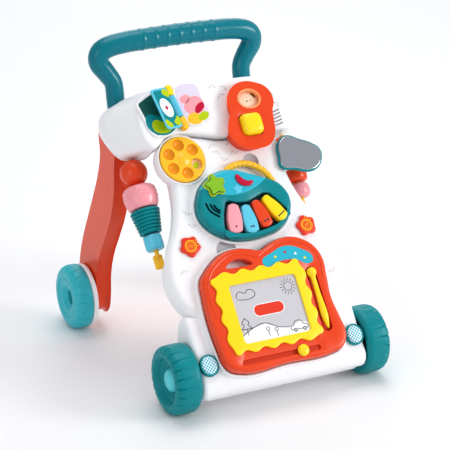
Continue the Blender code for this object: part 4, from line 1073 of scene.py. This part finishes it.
class WALKER_OT_trim(Operator):
    """Splash badges and chequered lamps"""
    bl_idname = "walker.trim"
    bl_label = "Badges and lamps"

    def execute(self, context):
        for side, label in ((-1, "left"), (1, "right")):
            badge = plate(splash_outline(), 0.2, 4.0, rim=1.4)
            rings = [(ellipse((0, 0), 8.6, 8.6), 1, 1), (ellipse((0, 0), 7.7, 7.7), 0, 2),
                     (ellipse((0, 0), 6.4, 6.4), 1, 3), (ellipse((0, 0), 5.6, 5.6), 0, 4)]
            for i in range(3):
                line = [(-3.6 + 2.6 * i, -2.6), (-1.4 + 2.6 * i, 2.8)]
                rings.append((stroke(line, 0.7, 2), 1, 5))
            for i in range(3):
                angle = radians(20 + 22 * i)
                dash = [(reach * cos(angle), reach * sin(angle)) for reach in (10.2, 12.4)]
                rings.append((stroke(dash, 0.8, 2), 1, 1))
            print_on(badge, 4.0, rings)
            badge.transform(Matrix.Translation((side * 89.5, 257.0, 0))
                            @ Matrix.Rotation(radians(24 * side), 4, "Z"))
            add_piece("badge_plate_" + label, badge, "chassis", ["red", "yellow"],
                      ["badge_" + label])
            lens = plate(ellipse((0, 0), 11.4, 12.9, 48), -3.0, 3.6, rim=2.6, steps=6)
            rim = lip(ellipse((0, 0), 11.4, 12.9, 48), 0.0, 2.1, -3.4, 2.6, 1)
            merge_into(lens, rim)
            lens.transform(Matrix.Translation((side * 111.5, 92.5, 0)))
            add_piece("lamp_" + label, lens, "chassis", ["lamp_check", "wheel_teal"],
                      ["headlight_" + label])
        return {"FINISHED"}


class WALKER_OT_cup_wheel(Operator):
    """Spinning disc with five bowls and a window onto the pictures behind it"""
    bl_idname = "walker.cup_wheel"
    bl_label = "Cup wheel"

    def execute(self, context):
        centre = Matrix.Translation((*CUP_WHEEL_CENTRE, 0.0))
        turn = radians(-27.2)
        spots = [(20.8 * cos(turn + i * pi / 3), 20.8 * sin(turn + i * pi / 3)) for i in range(6)]

        def bowls(bm):
            top, bottom = tunnel(bm, ellipse(spots[0], 8.2, 8.2), 5.9, 0.6, 0.5)
            return [top] + [dimple(bm, at, 8.4, 5.9, 4.4, 1) for at in spots[1:]], [bottom]

        disc = plate(ellipse((0, 0), 33.0, 33.0, 72), 0.6, 5.9, rim=1.6, steps=5, cut=bowls)
        boss = [(0, 8), (3.4, 7.8), (6, 7.1), (8.4, 6.2), (9.6, 5.8), (0, 5.7)]
        merge_into(disc, lathe(boss, 32))
        disc.transform(centre)
        add_piece("cup_wheel_disc", disc, "cup_disc", ["amber", "bowl"],
                  ["cup_wheel", "cup_wheel_pin"])
        pictures = plate(ellipse((0, 0), 31.5, 31.5, 48), -0.4, 0.3, rim=0.0)
        shapes = []
        for i, at in enumerate(spots):
            colour = 1 + i % 3
            if i % 2:
                shape = softened(star_outline(at, 5.4, 2.8))
            else:
                shape = smooth_loop([(at[0] - 4, at[1] - 4), (at[0] + 4, at[1] - 3),
                                     (at[0] + 3, at[1] + 4), (at[0] - 3, at[1] + 2)], 5)
            shapes.append((shape, colour, 1))
        print_on(pictures, 0.3, shapes)
        pictures.transform(centre)
        add_piece("cup_wheel_pictures", pictures, "chassis",
                  ["peach", "leaf", "crimson", "light_teal"])
        return {"FINISHED"}


# ---- book -----------------------------------------------------------------------------------
def book_place(level):
    middle = (SPINE_LOW + SPINE_HIGH) / 2
    along = SPINE_HIGH - SPINE_LOW
    turn = -radians(90) + along.angle_signed(Vector((1.0, 0.0)))
    return Matrix.Translation((middle.x, middle.y, level)) @ Matrix.Rotation(turn, 4, "Z")


class WALKER_OT_book(Operator):
    """Picture book: two fixed pages, a turning page and the knuckles of its hinge"""
    bl_idname = "walker.book"
    bl_label = "Flip book"

    def execute(self, context):
        flat = panel_place() @ book_place(0.0)
        left = softened([(-47, -33), (-7, -31), (-6.5, 0), (-7, 32), (-52, 24), (-53, 10)], 0.12)
        page = plate(left, 8.2, 11.2, rim=0.8)
        print_on(page, 11.2, [
            (grown(left, -3.0), 1, 1),
            (smooth_loop([(-49, -2), (-40, 2), (-30, -4), (-10, 0), (-11, -26), (-43, -28)]), 2, 2),
            (smooth_loop([(-44, -14), (-36, -8), (-26, -14), (-14, -10), (-14, -25), (-41, -26)]),
             3, 3)])
        add_piece("page_left", page, "chassis",
                  ["white", "forest", "wheel_teal", "leaf"], ["book_page_left"], flat)
        right = softened([(7, -31.5), (47, -27.5), (46.5, 0), (45.5, 27), (7, 29)], 0.12)
        page = plate(right, 8.2, 11.2, rim=0.8)
        print_on(page, 11.2, [
            (grown(right, -2.6), 1, 1),
            (smooth_loop([(12, -6), (20, 4), (30, 8), (40, 4), (43, -8), (38, -16), (18, -16)]),
             2, 2),
            (smooth_loop([(11, 8), (18, 13), (26, 11), (24, 3), (14, 2)]), 2, 2),
            (softened([(26, -19), (42, -12), (42, -3), (28, -8)], 0.15), 3, 3),
            (smooth_loop([(10, -27), (12, -18), (20, -15), (28, -18), (34, -26)]), 4, 4),
            (smooth_loop([(26, -26.5), (32, -19), (40, -18), (43.5, -24)]), 5, 5)])
        add_piece("page_right", page, "chassis",
                  ["white", "lilac", "pink", "crimson", "amber", "leaf"], ["book_page_right"], flat)
        add_piece("book_spine", self.knuckles(), "chassis", ["yellow", "amber"],
                  ["book_hinge"], flat)
        add_piece("page_turning", self.turning_page(), "flip_page",
                  ["light_blue", "wheel_teal", "white", "leaf", "crimson"], ["book_flip_page"],
                  panel_place() @ book_place(SPINE_H))
        return {"FINISHED"}

    def knuckles(self):
        half = (SPINE_HIGH - SPINE_LOW).length / 2
        bm = plate(rounded_box(-4.6, 4.6, -half, half, 2.0, 3), 8.2, 9.8, rim=0.4)
        for low, high, index in ((half - 16.0, half, 0), (-half - 3.0, -half + 16.0, 1)):
            block = plate(rounded_box(-4.6, 4.6, low, high, 3.4, 4), 9.0, SPINE_H + 4.0, rim=2.6,
                          steps=6)
            merge_into(bm, block, index=index)
        return bm

    def turning_page(self):
        lift = Matrix.Rotation(PAGE_LIFT, 4, "Y")
        sheet = rounded_box(-34.4, -4.6, -30.4, 30.4, 5.0)
        bm = plate(sheet, -1.2, 1.2, rim=0.5, back=0.5)
        field = rounded_box(-31.6, -7.0, -27.4, 27.4, 3.6)
        oval = ellipse((-19.4, 0.5), 10.2, 14.6, 36, radians(8))
        marks = []
        for i in range(8):
            angle = 2 * pi * i / 8
            marks.append((ellipse((-19.4 + 7.2 * cos(angle), 0.5 + 11.0 * sin(angle)), 1.7, 0.6, 10,
                                  angle + pi / 2), 0, 3))
        print_on(bm, 1.2, [
            (field, 1, 1), (oval, 2, 2),
            (smooth_loop([(-14, 27), (-7.4, 27), (-7.4, 15), (-12, 18), (-16, 21)]), 3, 2),
            (smooth_loop([(-13, -27), (-7.4, -27), (-7.4, -14), (-12, -17), (-17, -22)]), 3, 2),
            (smooth_loop([(-31, -26), (-22, -27), (-26, -19), (-31, -16)]), 3, 2),
            (ellipse((-19.4, 0.5), 2.4, 3.0, 16), 4, 4)] + marks)
        bm.transform(lift)
        barrel = tube([(0, y, 0) for y in (-15.8, 0, 15.8)], 4.2, 24)
        merge_into(bm, barrel, index=0)
        web = plate(rounded_box(-8.0, -2.0, -14.6, 14.6, 1.0, 2), -1.2, 1.2, rim=0.0)
        merge_into(bm, web, lift, 0)
        return bm


# ---- picture dial and paddle ----------------------------------------------------------------
def cushion(outline, low, shoulder, high, steps=12):
    """Soft pad on an outline centred on the origin."""
    bm = bmesh.new()
    rings = [ring(bm, outline, low)]
    for step in range(steps):
        angle = pi / 2 * step / steps
        share = cos(angle) ** 0.45
        rings.append(ring(bm, [(x * share, y * share) for x, y in outline],
                          shoulder + (high - shoulder) * sin(angle)))
    skin(bm, rings)
    cap(bm, rings[0])
    cap(bm, rings[-1])
    return bm


class WALKER_OT_dial(Operator):
    """Peanut-shaped housing with the picture dial behind its lens and the press paddle"""
    bl_idname = "walker.dial"
    bl_label = "Dial and paddle"

    def execute(self, context):
        housing = plate(smooth_loop(DIAL_HOUSING[::-1]), 0.2, HOUSING_TOP_H, rim=5.0, steps=7,
                        cut=self.wells)
        add_piece("dial_case", housing, "chassis", ["orange", "peach_rim"],
                  ["dial_housing"])
        dial = plate(ellipse(DIAL_CENTRE, 15.0, 15.0, 48), 12.0, 14.4, rim=0.3)
        tab = plate(rounded_box(8.0, 33.5, -5.5, 5.5, 5.0), 12.0, 14.4, rim=0.3)
        knob = plate(rounded_box(21.0, 33.5, -6.5, 6.5, 6.0), 11.4, 16.2, rim=2.0, back=1.6)
        merge_into(tab, knob)
        tab.transform(Matrix.Translation((*DIAL_CENTRE, 0)) @ Matrix.Rotation(radians(32), 4, "Z"))
        merge_into(dial, tab, index=1)
        spot = (DIAL_CENTRE[0] - 1.0, DIAL_CENTRE[1] - 1.0)
        print_on(dial, 14.4, [(ellipse(DIAL_CENTRE, 11.6, 9.4, 40), 2, 1),
                              (ellipse(spot, 1.2, 1.2, 16), 3, 2),
                              (ellipse((spot[0] + 5.5, spot[1] + 0.6), 0.9, 0.9, 16), 3, 2)])
        add_piece("dial_disc", dial, "dial", ["peach", "amber", "cream", "ink"],
                  ["picture_dial"])
        pad = cushion(rounded_box(-15.8, 15.8, -15.8, 15.8, 8.0), 17.4, 21.0, 30.2)
        pad.transform(Matrix.Translation((*PADDLE_CENTRE, 0)))
        add_piece("paddle_pad", pad, "paddle", ["yellow"], ["press_paddle"])
        return {"FINISHED"}

    def wells(self, bm):
        x, y = PADDLE_CENTRE
        well = pocket(bm, rounded_box(x - 16.6, x + 16.6, y - 16.6, y + 16.6, 7.4), HOUSING_TOP_H,
                      6.6, 0.6)
        before = set(bm.faces)
        lens = ellipse(DIAL_CENTRE, 15.6, 12.4, 48)
        mouth = ring(bm, grown(lens, 2.6), HOUSING_TOP_H)
        bead = ring(bm, grown(lens, 2.0), HOUSING_TOP_H + 0.9)
        inner = ring(bm, grown(lens, 0.6), HOUSING_TOP_H + 0.9)
        edge = ring(bm, lens, HOUSING_TOP_H - 0.4)
        low = ring(bm, lens, 14.9)
        ledge = ring(bm, ellipse(DIAL_CENTRE, 15.7, 15.7, 48), 14.85)
        floor = ring(bm, ellipse(DIAL_CENTRE, 15.7, 15.7, 48), 11.6)
        skin(bm, [mouth, bead, inner, edge, low, ledge, floor])
        cap(bm, floor)
        paint_new(bm, before, 1)
        return [well, mouth], ()


# ---- piano ----------------------------------------------------------------------------------
class WALKER_OT_piano(Operator):
    """Piano toy: case, keys, star button and carrying handle"""
    bl_idname = "walker.piano"
    bl_label = "Piano"

    def execute(self, context):
        case = plate(smooth_loop(PIANO_OUTLINE), 3.0, PIANO_TOP_H, rim=7.0, steps=8, cut=self.wells)
        crescent = plate(smooth_loop([(1, 342), (-2, 334), (3, 326.5), (12, 323), (20, 324.5),
                                      (22, 329), (15.5, 330), (9.5, 333), (5.5, 338)]), 16.8, 19.6,
                         rim=1.8, steps=6)
        merge_into(case, crescent, index=2)
        star = plate(softened(star_outline((-3.0, 321.0), 8.6, 4.8)), 16.8, 17.9, rim=0.7)
        merge_into(case, star, index=3)
        star_shape = softened(star_outline(STAR_CENTRE, 16.0, 9.0, radians(6)))
        border = lip(star_shape, 0.8, 1.8, 16.6, 19.6, 4)
        merge_into(case, border)
        add_piece("piano_body", case, "piano",
                  ["piano_case", "well_shade_teal", "crimson", "light_blue", "leaf"], ["piano_shell"])
        star = plate(star_shape, 19.1, 22.3, rim=1.6, steps=5)
        add_piece("star_cap", star, "star", ["green"], ["star_button"])
        self.keys()
        self.carrying_handle()
        return {"FINISHED"}

    def wells(self, bm):
        # The key window and the three grooves beside it are painted dark teal inside as painted shade.
        mouths = [pocket(bm, softened(KEY_WINDOW, 0.12), PIANO_TOP_H, 10.8, 1.4, 1)]
        for line in ([(-56, 308), (-53, 297), (-42, 287)], [(-50, 306), (-47, 298), (-40, 292)],
                     [(-45, 304), (-43, 299), (-39, 295)]):
            mouths.append(pocket(bm, stroke(line, 2.6, 4), PIANO_TOP_H, 3.0, 0.4, 1))
        return mouths, ()

    def keys(self):
        tags = "abcd"
        for number, (colour, top, length, width_high, width_low, lean) in enumerate(KEYS, 1):
            high, low = width_high / 2, width_low / 2
            shape = softened([(low, -length), (high, 0), (-high, 0), (-low, -length)], 0.09)
            key = plate(shape, 9.0, 18.6, rim=2.2, steps=5)
            dots = []
            for i in range(number):
                across = (i - (number - 1) / 2) * 3.4
                dots.append((ellipse((across, -length + 6.5), 1.4, 1.4, 14), 1, 1))
            print_on(key, 18.6, dots)
            key.transform(Matrix.Translation((*top, 0)) @ Matrix.Rotation(radians(lean), 4, "Z"))
            add_piece("piano_key_%d" % number, key, "key_" + tags[number - 1],
                      [colour, "ink"], ["key_%d" % number])

    def carrying_handle(self):
        route = [(-12, 349, 8), (-4, 354.5, 8), (9, 358.5, 8), (24, 358, 8), (38, 351.5, 8),
                 (50, 340, 8), (57, 324, 8)]
        path, radii = [], []
        line = smooth_line(route, 16)
        for i, point in enumerate(line):
            path.append(point)
            radii.append(3.7 + 1.0 * abs(sin(pi * i / 8.0)) ** 0.5)
        add_piece("piano_carry_handle", tube(path, radii, 20), "piano", ["amber"],
                  ["piano_handle"], sharp=70)


# ---- drawing board --------------------------------------------------------------------------
SCREEN_EDGES = (-62.0, 44.0, 104.5, 192.0)
BEZEL_EDGES = (-80.6, 56.1, 96.4, 207.1)
PEN_TOP = (67.5, 186.0)
KNOB_CENTRE = (21.0, 83.0)


def wavy_outline(edges, wave, count_x, count_y):
    """A rectangle whose sides swing in and out in even waves."""
    x0, x1, y0, y1 = edges
    corners = [((x0, y0), (x1, y0), count_x), ((x1, y0), (x1, y1), count_y),
               ((x1, y1), (x0, y1), count_x), ((x0, y1), (x0, y0), count_y)]
    outline = []
    for start, end, count in corners:
        start, end = Vector(start), Vector(end)
        along = (end - start).normalized()
        out = Vector((along.y, -along.x))
        for i in range(count * 2):
            swing = wave * 0.5 * (1 if i % 2 == 0 else -1)
            point = start.lerp(end, (i + 0.5) / (count * 2)) + out * swing
            outline.append((point.x, point.y))
    return smooth_loop(outline, 5)


class WALKER_OT_board(Operator):
    """Drawing board: frame with carrying slot, wavy bezel, drawing screen, eraser and pen"""
    bl_idname = "walker.board"
    bl_label = "Drawing board"

    def execute(self, context):
        frame_body = plate(smooth_loop(BOARD_OUTLINE), 2.8, BOARD_TOP_H, rim=5.0, steps=7,
                           cut=self.wells)
        add_piece("board_body", frame_body, "board", ["orange", "groove_shade_orange"],
                  ["board_frame"])
        add_piece("board_details", self.raised_details(), "board",
                  ["orange", "sky", "white", "yellow", "crimson"])
        opening = rounded_box(-59.5, 41.5, 107.0, 189.5, 5.0)

        def window(bm):
            upper, lower = tunnel(bm, opening, 18.8, 16.1, 0.8)
            return [upper], [lower]

        bezel = plate(wavy_outline(BEZEL_EDGES, 5.0, 5, 4), 16.1, 18.8, rim=1.2, steps=4,
                      cut=window)
        add_piece("bezel_wavy", bezel, "board", ["yellow"], ["board_bezel"])
        x0, x1, y0, y1 = SCREEN_EDGES
        screen = plate(rounded_box(x0 + 0.3, x1 - 0.3, y0 + 0.3, y1 - 0.3, 4.8), 13.0, 16.0,
                       rim=0.0)
        print_on(screen, 16.0, self.screen_picture())
        add_piece("drawing_screen", screen, "board",
                  ["screen", "white", "ink", "red"], ["board_screen"])
        self.eraser()
        self.pen()
        return {"FINISHED"}

    def wells(self, bm):
        slot = softened(HANDLE_SLOT, 0.14)
        top, bottom = tunnel(bm, slot, BOARD_TOP_H, 2.8, 1.2)
        x0, x1, y0, y1 = SCREEN_EDGES
        x, y = PEN_TOP
        # The pen groove and the eraser track are painted darker orange inside as painted shade.
        mouths = [top, pocket(bm, rounded_box(x0, x1, y0, y1, 5.0), BOARD_TOP_H, 3.0, 0.3),
                  pocket(bm, rounded_box(x - 7.2, x + 7.2, y - 84, y + 8.6, 7.0), BOARD_TOP_H, 6.5, 0.6,
                         1),
                  pocket(bm, rounded_box(-70.4, 48.4, 79.8, 86.2, 3.1), BOARD_TOP_H, 2.6, 0.5, 1)]
        return mouths, [bottom]

    def raised_details(self):
        """Ridges on both arches and the flower label with its blossoms."""
        bm = tube([(*point, 15.4) for point in
                   [(p.x, p.y) for p in smooth_line([(-88, 150), (-89, 185), (-82, 206), (-66, 221),
                                                     (-44, 231), (-22, 229), (-4, 222)], 6)]],
                  1.5, 10)
        arch = smooth_line([(-2, 223), (10, 229), (28, 235), (50, 235.5), (68, 229), (80, 218),
                            (86, 200), (84, 178)], 6)
        merge_into(bm, tube([(p.x, p.y, 15.4) for p in arch], 1.5, 10))
        label = smooth_loop([(2, 211), (21, 224), (41, 229), (61, 222), (76, 206), (69, 201),
                             (51, 210), (31, 212)], 6)
        print_on(bm, BOARD_TOP_H, [(label, 2, 2), (grown(label, -1.2), 1, 3)])
        for at, colour in (((22, 217.5), 3), ((38, 221.5), 4), ((53, 217), 2), ((65, 208.5), 3)):
            blossom = smooth_loop([(at[0] + r * cos(radians(a)), at[1] + r * sin(radians(a)))
                                   for a, r in ((0, 2.6), (36, 1.2), (72, 2.6), (108, 1.2),
                                                (144, 2.6), (180, 1.2), (216, 2.6), (252, 1.2),
                                                (288, 2.6), (324, 1.2))], 2)
            print_on(bm, BOARD_TOP_H, [(blossom, colour, 5)])
        return bm

    def screen_picture(self):
        """Lines of a simple landscape and a blank plaque."""
        hills = [(-59.5, 105), (43, 105), (43, 119), (30, 124), (12, 118), (-4, 121), (-22, 130),
                 (-42, 126), (-60.5, 117)]
        shapes = [(hills, 1, 1)]
        lines = [[(-52, 171), (-51, 176), (-45, 179), (-39, 176), (-33, 180), (-26, 178), (-24, 172),
                  (-30, 168), (-42, 167), (-51, 169)],
                 [(-50, 118), (-50, 127)], [(-58, 127), (-50, 127), (-42, 127)],
                 [(-58, 127), (-53, 134), (-55, 134), (-50, 142)],
                 [(-42, 127), (-47, 134), (-45, 134), (-50, 142)],
                 [(14, 113), (14, 118), (18, 119), (21, 124), (31, 124), (34, 119), (39, 118),
                  (39, 113)], [(14, 113), (39, 113)], [(-60, 118), (-42, 126.5), (-22, 130.5),
                  (-4, 121.5), (12, 118.5)],
                 [(-20, 112), (-20, 120)], [(-8, 110), (-8, 117)]]
        shapes += [(stroke(line, 0.9, 3), 2, 2) for line in lines]
        for at in ((19.5, 112.5), (33.5, 112.5)):
            shapes += [(ellipse(at, 2.6, 2.6, 20), 2, 3), (ellipse(at, 1.3, 1.3, 16), 1, 4)]
        for at in ((-20, 122), (-8, 119)):
            shapes += [(ellipse(at, 2.8, 2.8, 20), 2, 3), (ellipse(at, 2.0, 2.0, 16), 1, 4)]
        shapes += [(ellipse((27, 174), 6.4, 6.4, 28), 2, 2),
                   (ellipse((27, 174), 5.6, 5.6, 28), 0, 3)]
        for i in range(14):
            angle = 2 * pi * i / 14
            ray = [(27 + 8.2 * cos(angle), 174 + 8.2 * sin(angle)),
                   (27 + 11.6 * cos(angle), 174 + 11.6 * sin(angle))]
            shapes.append((stroke(ray, 0.8, 2), 2, 2))
        shapes += [(rounded_box(-33.5, 13.5, 140.2, 157.8, 8.6), 1, 3),
                   (rounded_box(-32.3, 12.3, 141.4, 156.6, 7.4), 3, 4)]
        return shapes

    def eraser(self):
        knob = lathe([(0, 22), (3.4, 21.9), (5.8, 21.5), (7.4, 20.2), (8.2, 18.2), (8.2, 16.5),
                      (2.2, 16.4), (2.2, 14.2), (0, 14.2)], 40)
        mark = plate(rounded_box(-4.2, 4.2, -0.7, 0.7, 0.6, 3), 21.4, 22.0, rim=0.2)
        merge_into(knob, mark, index=1)
        knob.transform(Matrix.Translation((*KNOB_CENTRE, 0)))
        add_piece("eraser_slider", knob, "eraser", ["yellow", "amber"], ["eraser_knob"])

    def pen(self):
        profile = [(0, 7.2), (3.0, 6.6), (5.6, 4.6), (6.9, 1.6), (6.8, -1.2), (5.8, -3.8),
                   (3.9, -6.4), (3.4, -9), (3.5, -30), (4.4, -46), (5.0, -56), (4.8, -64),
                   (3.4, -72), (1.8, -78.5), (0, -81)]
        body = lathe(profile, 32)
        body.transform(Matrix.Translation((*PEN_TOP, BOARD_TOP_H + 1.4)) @ UP_SLOPE)
        add_piece("drawing_pen", body, "pen_body", ["yellow"], ["pen"], sharp=60)


# ---- beads, rings and mirror ----------------------------------------------------------------
def on_rod(bm, side, up):
    bm.transform(Matrix.Translation((side * ROD_X, up, ROD_H)) @ UP_SLOPE)
    return bm


def lobed(bm, count, depth, sharpness=1.0):
    """Swells a turned shape into lobes round its axis."""
    for vert in bm.verts:
        radius = vert.co.xy.length
        if radius < 5.0:
            continue
        angle = vert.co.xy.angle_signed(Vector((1, 0)), 0.0)
        wave = abs(cos(count * angle / 2)) ** sharpness
        vert.co.xy *= 1 - depth * (1 - wave) / radius
    return bm


class WALKER_OT_beads(Operator):
    """Four large beads on the left rod and two rings on the right rod"""
    bl_idname = "walker.beads"
    bl_label = "Beads and rings"

    def execute(self, context):
        arc = [(19.4 * cos(radians(a)), 19.6 * sin(radians(a))) for a in range(78, -79, -12)]
        ball = lathe([(3.4, 19.4)] + arc + [(3.4, -19.4)], 48)
        add_piece("ball_orange", on_rod(ball, -1, 385.6), "ball", ["orange"],
                  ["bead_ball"], sharp=50)
        barrel = lathe(smooth_profile([(3.4, 16.6), (15, 16.6), (19.5, 15.4), (22.6, 11.4),
                                       (23.8, 4), (23.4, -5), (21.6, -12), (19.4, -15.8),
                                       (15, -16.6), (3.4, -16.6)]), 48)
        for row, (z, radius) in enumerate(((11.0, 22.6), (5.4, 23.6), (-0.4, 23.7))):
            for i in range(18):
                angle = 2 * pi * (i + 0.5 * (row % 2)) / 18
                bmesh.ops.create_icosphere(barrel, subdivisions=2, radius=1.1,
                                           matrix=Matrix.Translation((radius * cos(angle),
                                                                      radius * sin(angle), z)))
        add_piece("barrel_pink", on_rod(barrel, -1, 348.5), "barrel", ["pink"],
                  ["bead_barrel"], sharp=50)
        ridges = [(3.4, 17.4), (16.0, 17.4)]
        for i in range(7):
            radius, level = 20.7 - 0.85 * i, 14.6 - 4.85 * i
            ridges += [(radius, level + 1.1), (radius, level - 1.1), (radius - 2.2, level - 2.42)]
        cone = lathe(smooth_profile(ridges + [(12.6, -17.3), (3.4, -17.3)]), 64)
        add_piece("cone_ribbed", on_rod(cone, -1, 313.0), "cone", ["wheel_teal"],
                  ["bead_cone"], sharp=60)
        nut = lobed(lathe(smooth_profile([(3.9, 10.8), (10.6, 10.8), (13.0, 9.4), (13.4, 6),
                                          (13.4, -6), (13.0, -9.4), (10.6, -10.8), (3.9, -10.8)]),
                          72), 6, 1.4, 1.0)
        add_piece("nut_blue", on_rod(nut, -1, 283.0), "nut", ["light_blue"],
                  ["bead_nut"], sharp=50)
        self.rings()
        return {"FINISHED"}

    def rings(self):
        knobbly = lathe(smooth_profile([(3.4, 10), (11, 10.2), (15.6, 7.8), (17.2, 3), (17.2, -3),
                                        (15.6, -7.8), (11, -10.2), (3.4, -10)]), 60)
        for row, z in enumerate((-5.6, 0.0, 5.6)):
            for i in range(10):
                angle = 2 * pi * (i + 0.5 * (row % 2)) / 10
                reach = 15.4 if z else 16.4
                bmesh.ops.create_icosphere(knobbly, subdivisions=2, radius=2.6,
                                           matrix=Matrix.Translation((reach * cos(angle) * 0.93,
                                                                      reach * sin(angle) * 0.93,
                                                                      z)))
        add_piece("ring_knobbly", on_rod(knobbly, 1, 342.0), "orange_ring", ["orange"],
                  ["ring_orange"], sharp=50)
        smooth_one = lathe(smooth_profile([(3.4, 10), (9, 10.3), (13.2, 8), (15, 3.4), (15, -3.4),
                                           (13.2, -8), (9, -10.3), (3.4, -10)]), 48)
        add_piece("ring_smooth", on_rod(smooth_one, 1, 319.5), "pink_ring", ["pink"],
                  ["ring_pink"], sharp=50)


def smooth_profile(points):
    return [(p.x, p.y) for p in smooth_line(points, 3)]


class WALKER_OT_mirror(Operator):
    """Play mirror that turns on the right rod"""
    bl_idname = "walker.mirror"
    bl_label = "Mirror"

    def execute(self, context):
        shape = smooth_loop(MIRROR_OUTLINE)
        holder = plate(shape, 2.0, 6.8, rim=1.6, steps=5, back=1.2)
        merge_into(holder, plate(rounded_box(ROD_X - 4, ROD_X + 4, 359, 373, 2.0), -41.0, 3.0,
                                 rim=0.0))
        sleeve = tube([(ROD_X, y, ROD_H) for y in (357, 366, 375)], 7.5, 28)
        merge_into(holder, sleeve)
        add_piece("mirror_holder", holder, "mirror", ["wheel_teal"],
                  ["mirror_frame"])
        glass = plate(grown(shape, -2.2), 6.4, 8.0, rim=0.9, steps=4)
        add_piece("mirror_glass", glass, "mirror", ["mirror"], ["mirror_plate"])
        return {"FINISHED"}


class WALKER_OT_hardware(Operator):
    """Finishes of the axles, rods, backs and sound parts that keep their CAD shape"""
    bl_idname = "walker.hardware"
    bl_label = "Hardware finishes"

    def execute(self, context):
        finishes = {"front_axle": "steel", "rear_axle_left": "steel", "rear_axle_right": "steel",
                    "speaker": "dark", "circuit_board": "copper", "piano_back": "piano_teal",
                    "board_back": "orange", "rod_left": "amber", "rod_right": "amber"}
        for node, finish_name in finishes.items():
            dress(node, finish_name)
        return {"FINISHED"}


class WALKER_OT_stage(Operator):
    """Pale floor, soft lights and the camera"""
    bl_idname = "walker.stage"
    bl_label = "Stage"

    def execute(self, context):
        self.floor()
        context.scene.view_settings.view_transform = "Standard"
        context.scene.view_settings.look = "Medium High Contrast"
        for name, place, size, power in (("key", (2.8, -2.5, 1.5), 1.8, 62.0),
                                         ("fill", (-2.8, -1.6, 1.4), 2.4, 16.0),
                                         ("top", (0.3, 0.5, 3.0), 2.2, 26.0),
                                         ("back", (1.2, 2.6, 1.8), 2.2, 14.0)):
            self.soft_light(name, Vector(place), size, power)
        world = bpy.data.worlds.new("studio")
        world.use_nodes = True
        world.node_tree.nodes["Background"].inputs["Color"].default_value = (0.93, 0.95, 1.0, 1.0)
        world.node_tree.nodes["Background"].inputs["Strength"].default_value = 0.48
        context.scene.world = world
        self.camera()
        return {"FINISHED"}

    def floor(self):
        bm = bmesh.new()
        bmesh.ops.create_grid(bm, x_segments=2, y_segments=2, size=9.0)
        mesh = bpy.data.meshes.new("floor")
        bm.to_mesh(mesh)
        bm.free()
        material = bpy.data.materials.new("floor")
        material.use_nodes = True
        shader = material.node_tree.nodes["Principled BSDF"]
        shader.inputs["Base Color"].default_value = (0.9, 0.9, 0.9, 1.0)
        shader.inputs["Roughness"].default_value = 0.75
        mesh.materials.append(material)
        floor = bpy.data.objects.new("floor", mesh)
        bpy.context.scene.collection.objects.link(floor)

    def soft_light(self, name, place, size, power):
        light = bpy.data.lights.new(name, "AREA")
        light.shape = "DISK"
        light.size = size
        light.energy = power
        lamp = bpy.data.objects.new(name, light)
        lamp.location = place
        aim = Vector((0.0, 0.0, 0.2)) - place
        lamp.rotation_euler = aim.to_track_quat("-Z", "Y").to_euler()
        bpy.context.scene.collection.objects.link(lamp)

    def camera(self):
        sizes = bpy.context.scene.walker_sizes
        azimuth, elevation = sizes.camera_azimuth, sizes.camera_elevation
        back = Vector((sin(azimuth) * cos(elevation), -cos(azimuth) * cos(elevation),
                       sin(elevation)))
        lens = bpy.data.cameras.new("camera")
        lens.lens = sizes.camera_lens
        lens.sensor_width = 36.0
        camera = bpy.data.objects.new("camera", lens)
        camera.location = Vector(CAMERA_TARGET) + back * sizes.camera_distance
        camera.rotation_euler = (-back).to_track_quat("-Z", "Y").to_euler()
        bpy.context.scene.collection.objects.link(camera)
        bpy.context.scene.camera = camera


# ---- panel and registration -----------------------------------------------------------------
PIECES = (WALKER_OT_body, WALKER_OT_head, WALKER_OT_handle, WALKER_OT_legs,
          WALKER_OT_front_wheels, WALKER_OT_rear_wheels, WALKER_OT_trim, WALKER_OT_cup_wheel,
          WALKER_OT_book, WALKER_OT_dial, WALKER_OT_piano, WALKER_OT_board, WALKER_OT_beads,
          WALKER_OT_mirror, WALKER_OT_hardware, WALKER_OT_stage)


class WALKER_PT_pieces(Panel):
    """Sizes, colours and build steps of the walker"""
    bl_idname = "WALKER_PT_pieces"
    bl_label = "Baby walker"
    bl_space_type = "VIEW_3D"
    bl_region_type = "UI"
    bl_category = "Walker"

    def draw(self, context):
        for group in (context.scene.walker_sizes, context.scene.walker_colours):
            column = self.layout.column(align=True)
            for name in group.__annotations__:
                column.prop(group, name)
        for piece in PIECES:
            self.layout.operator(piece.bl_idname)


CLASSES = (WalkerSizes, WalkerColours, *PIECES, WALKER_PT_pieces)


def register():
    for cls in CLASSES:
        bpy.utils.register_class(cls)
    bpy.types.Scene.walker_sizes = PointerProperty(type=WalkerSizes)
    bpy.types.Scene.walker_colours = PointerProperty(type=WalkerColours)


def unregister():
    del bpy.types.Scene.walker_colours
    del bpy.types.Scene.walker_sizes
    for cls in reversed(CLASSES):
        bpy.utils.unregister_class(cls)


def main():
    register()
    for piece in PIECES:
        getattr(bpy.ops.walker, piece.bl_idname.split(".")[1])()


if __name__ == "__main__":
    main()
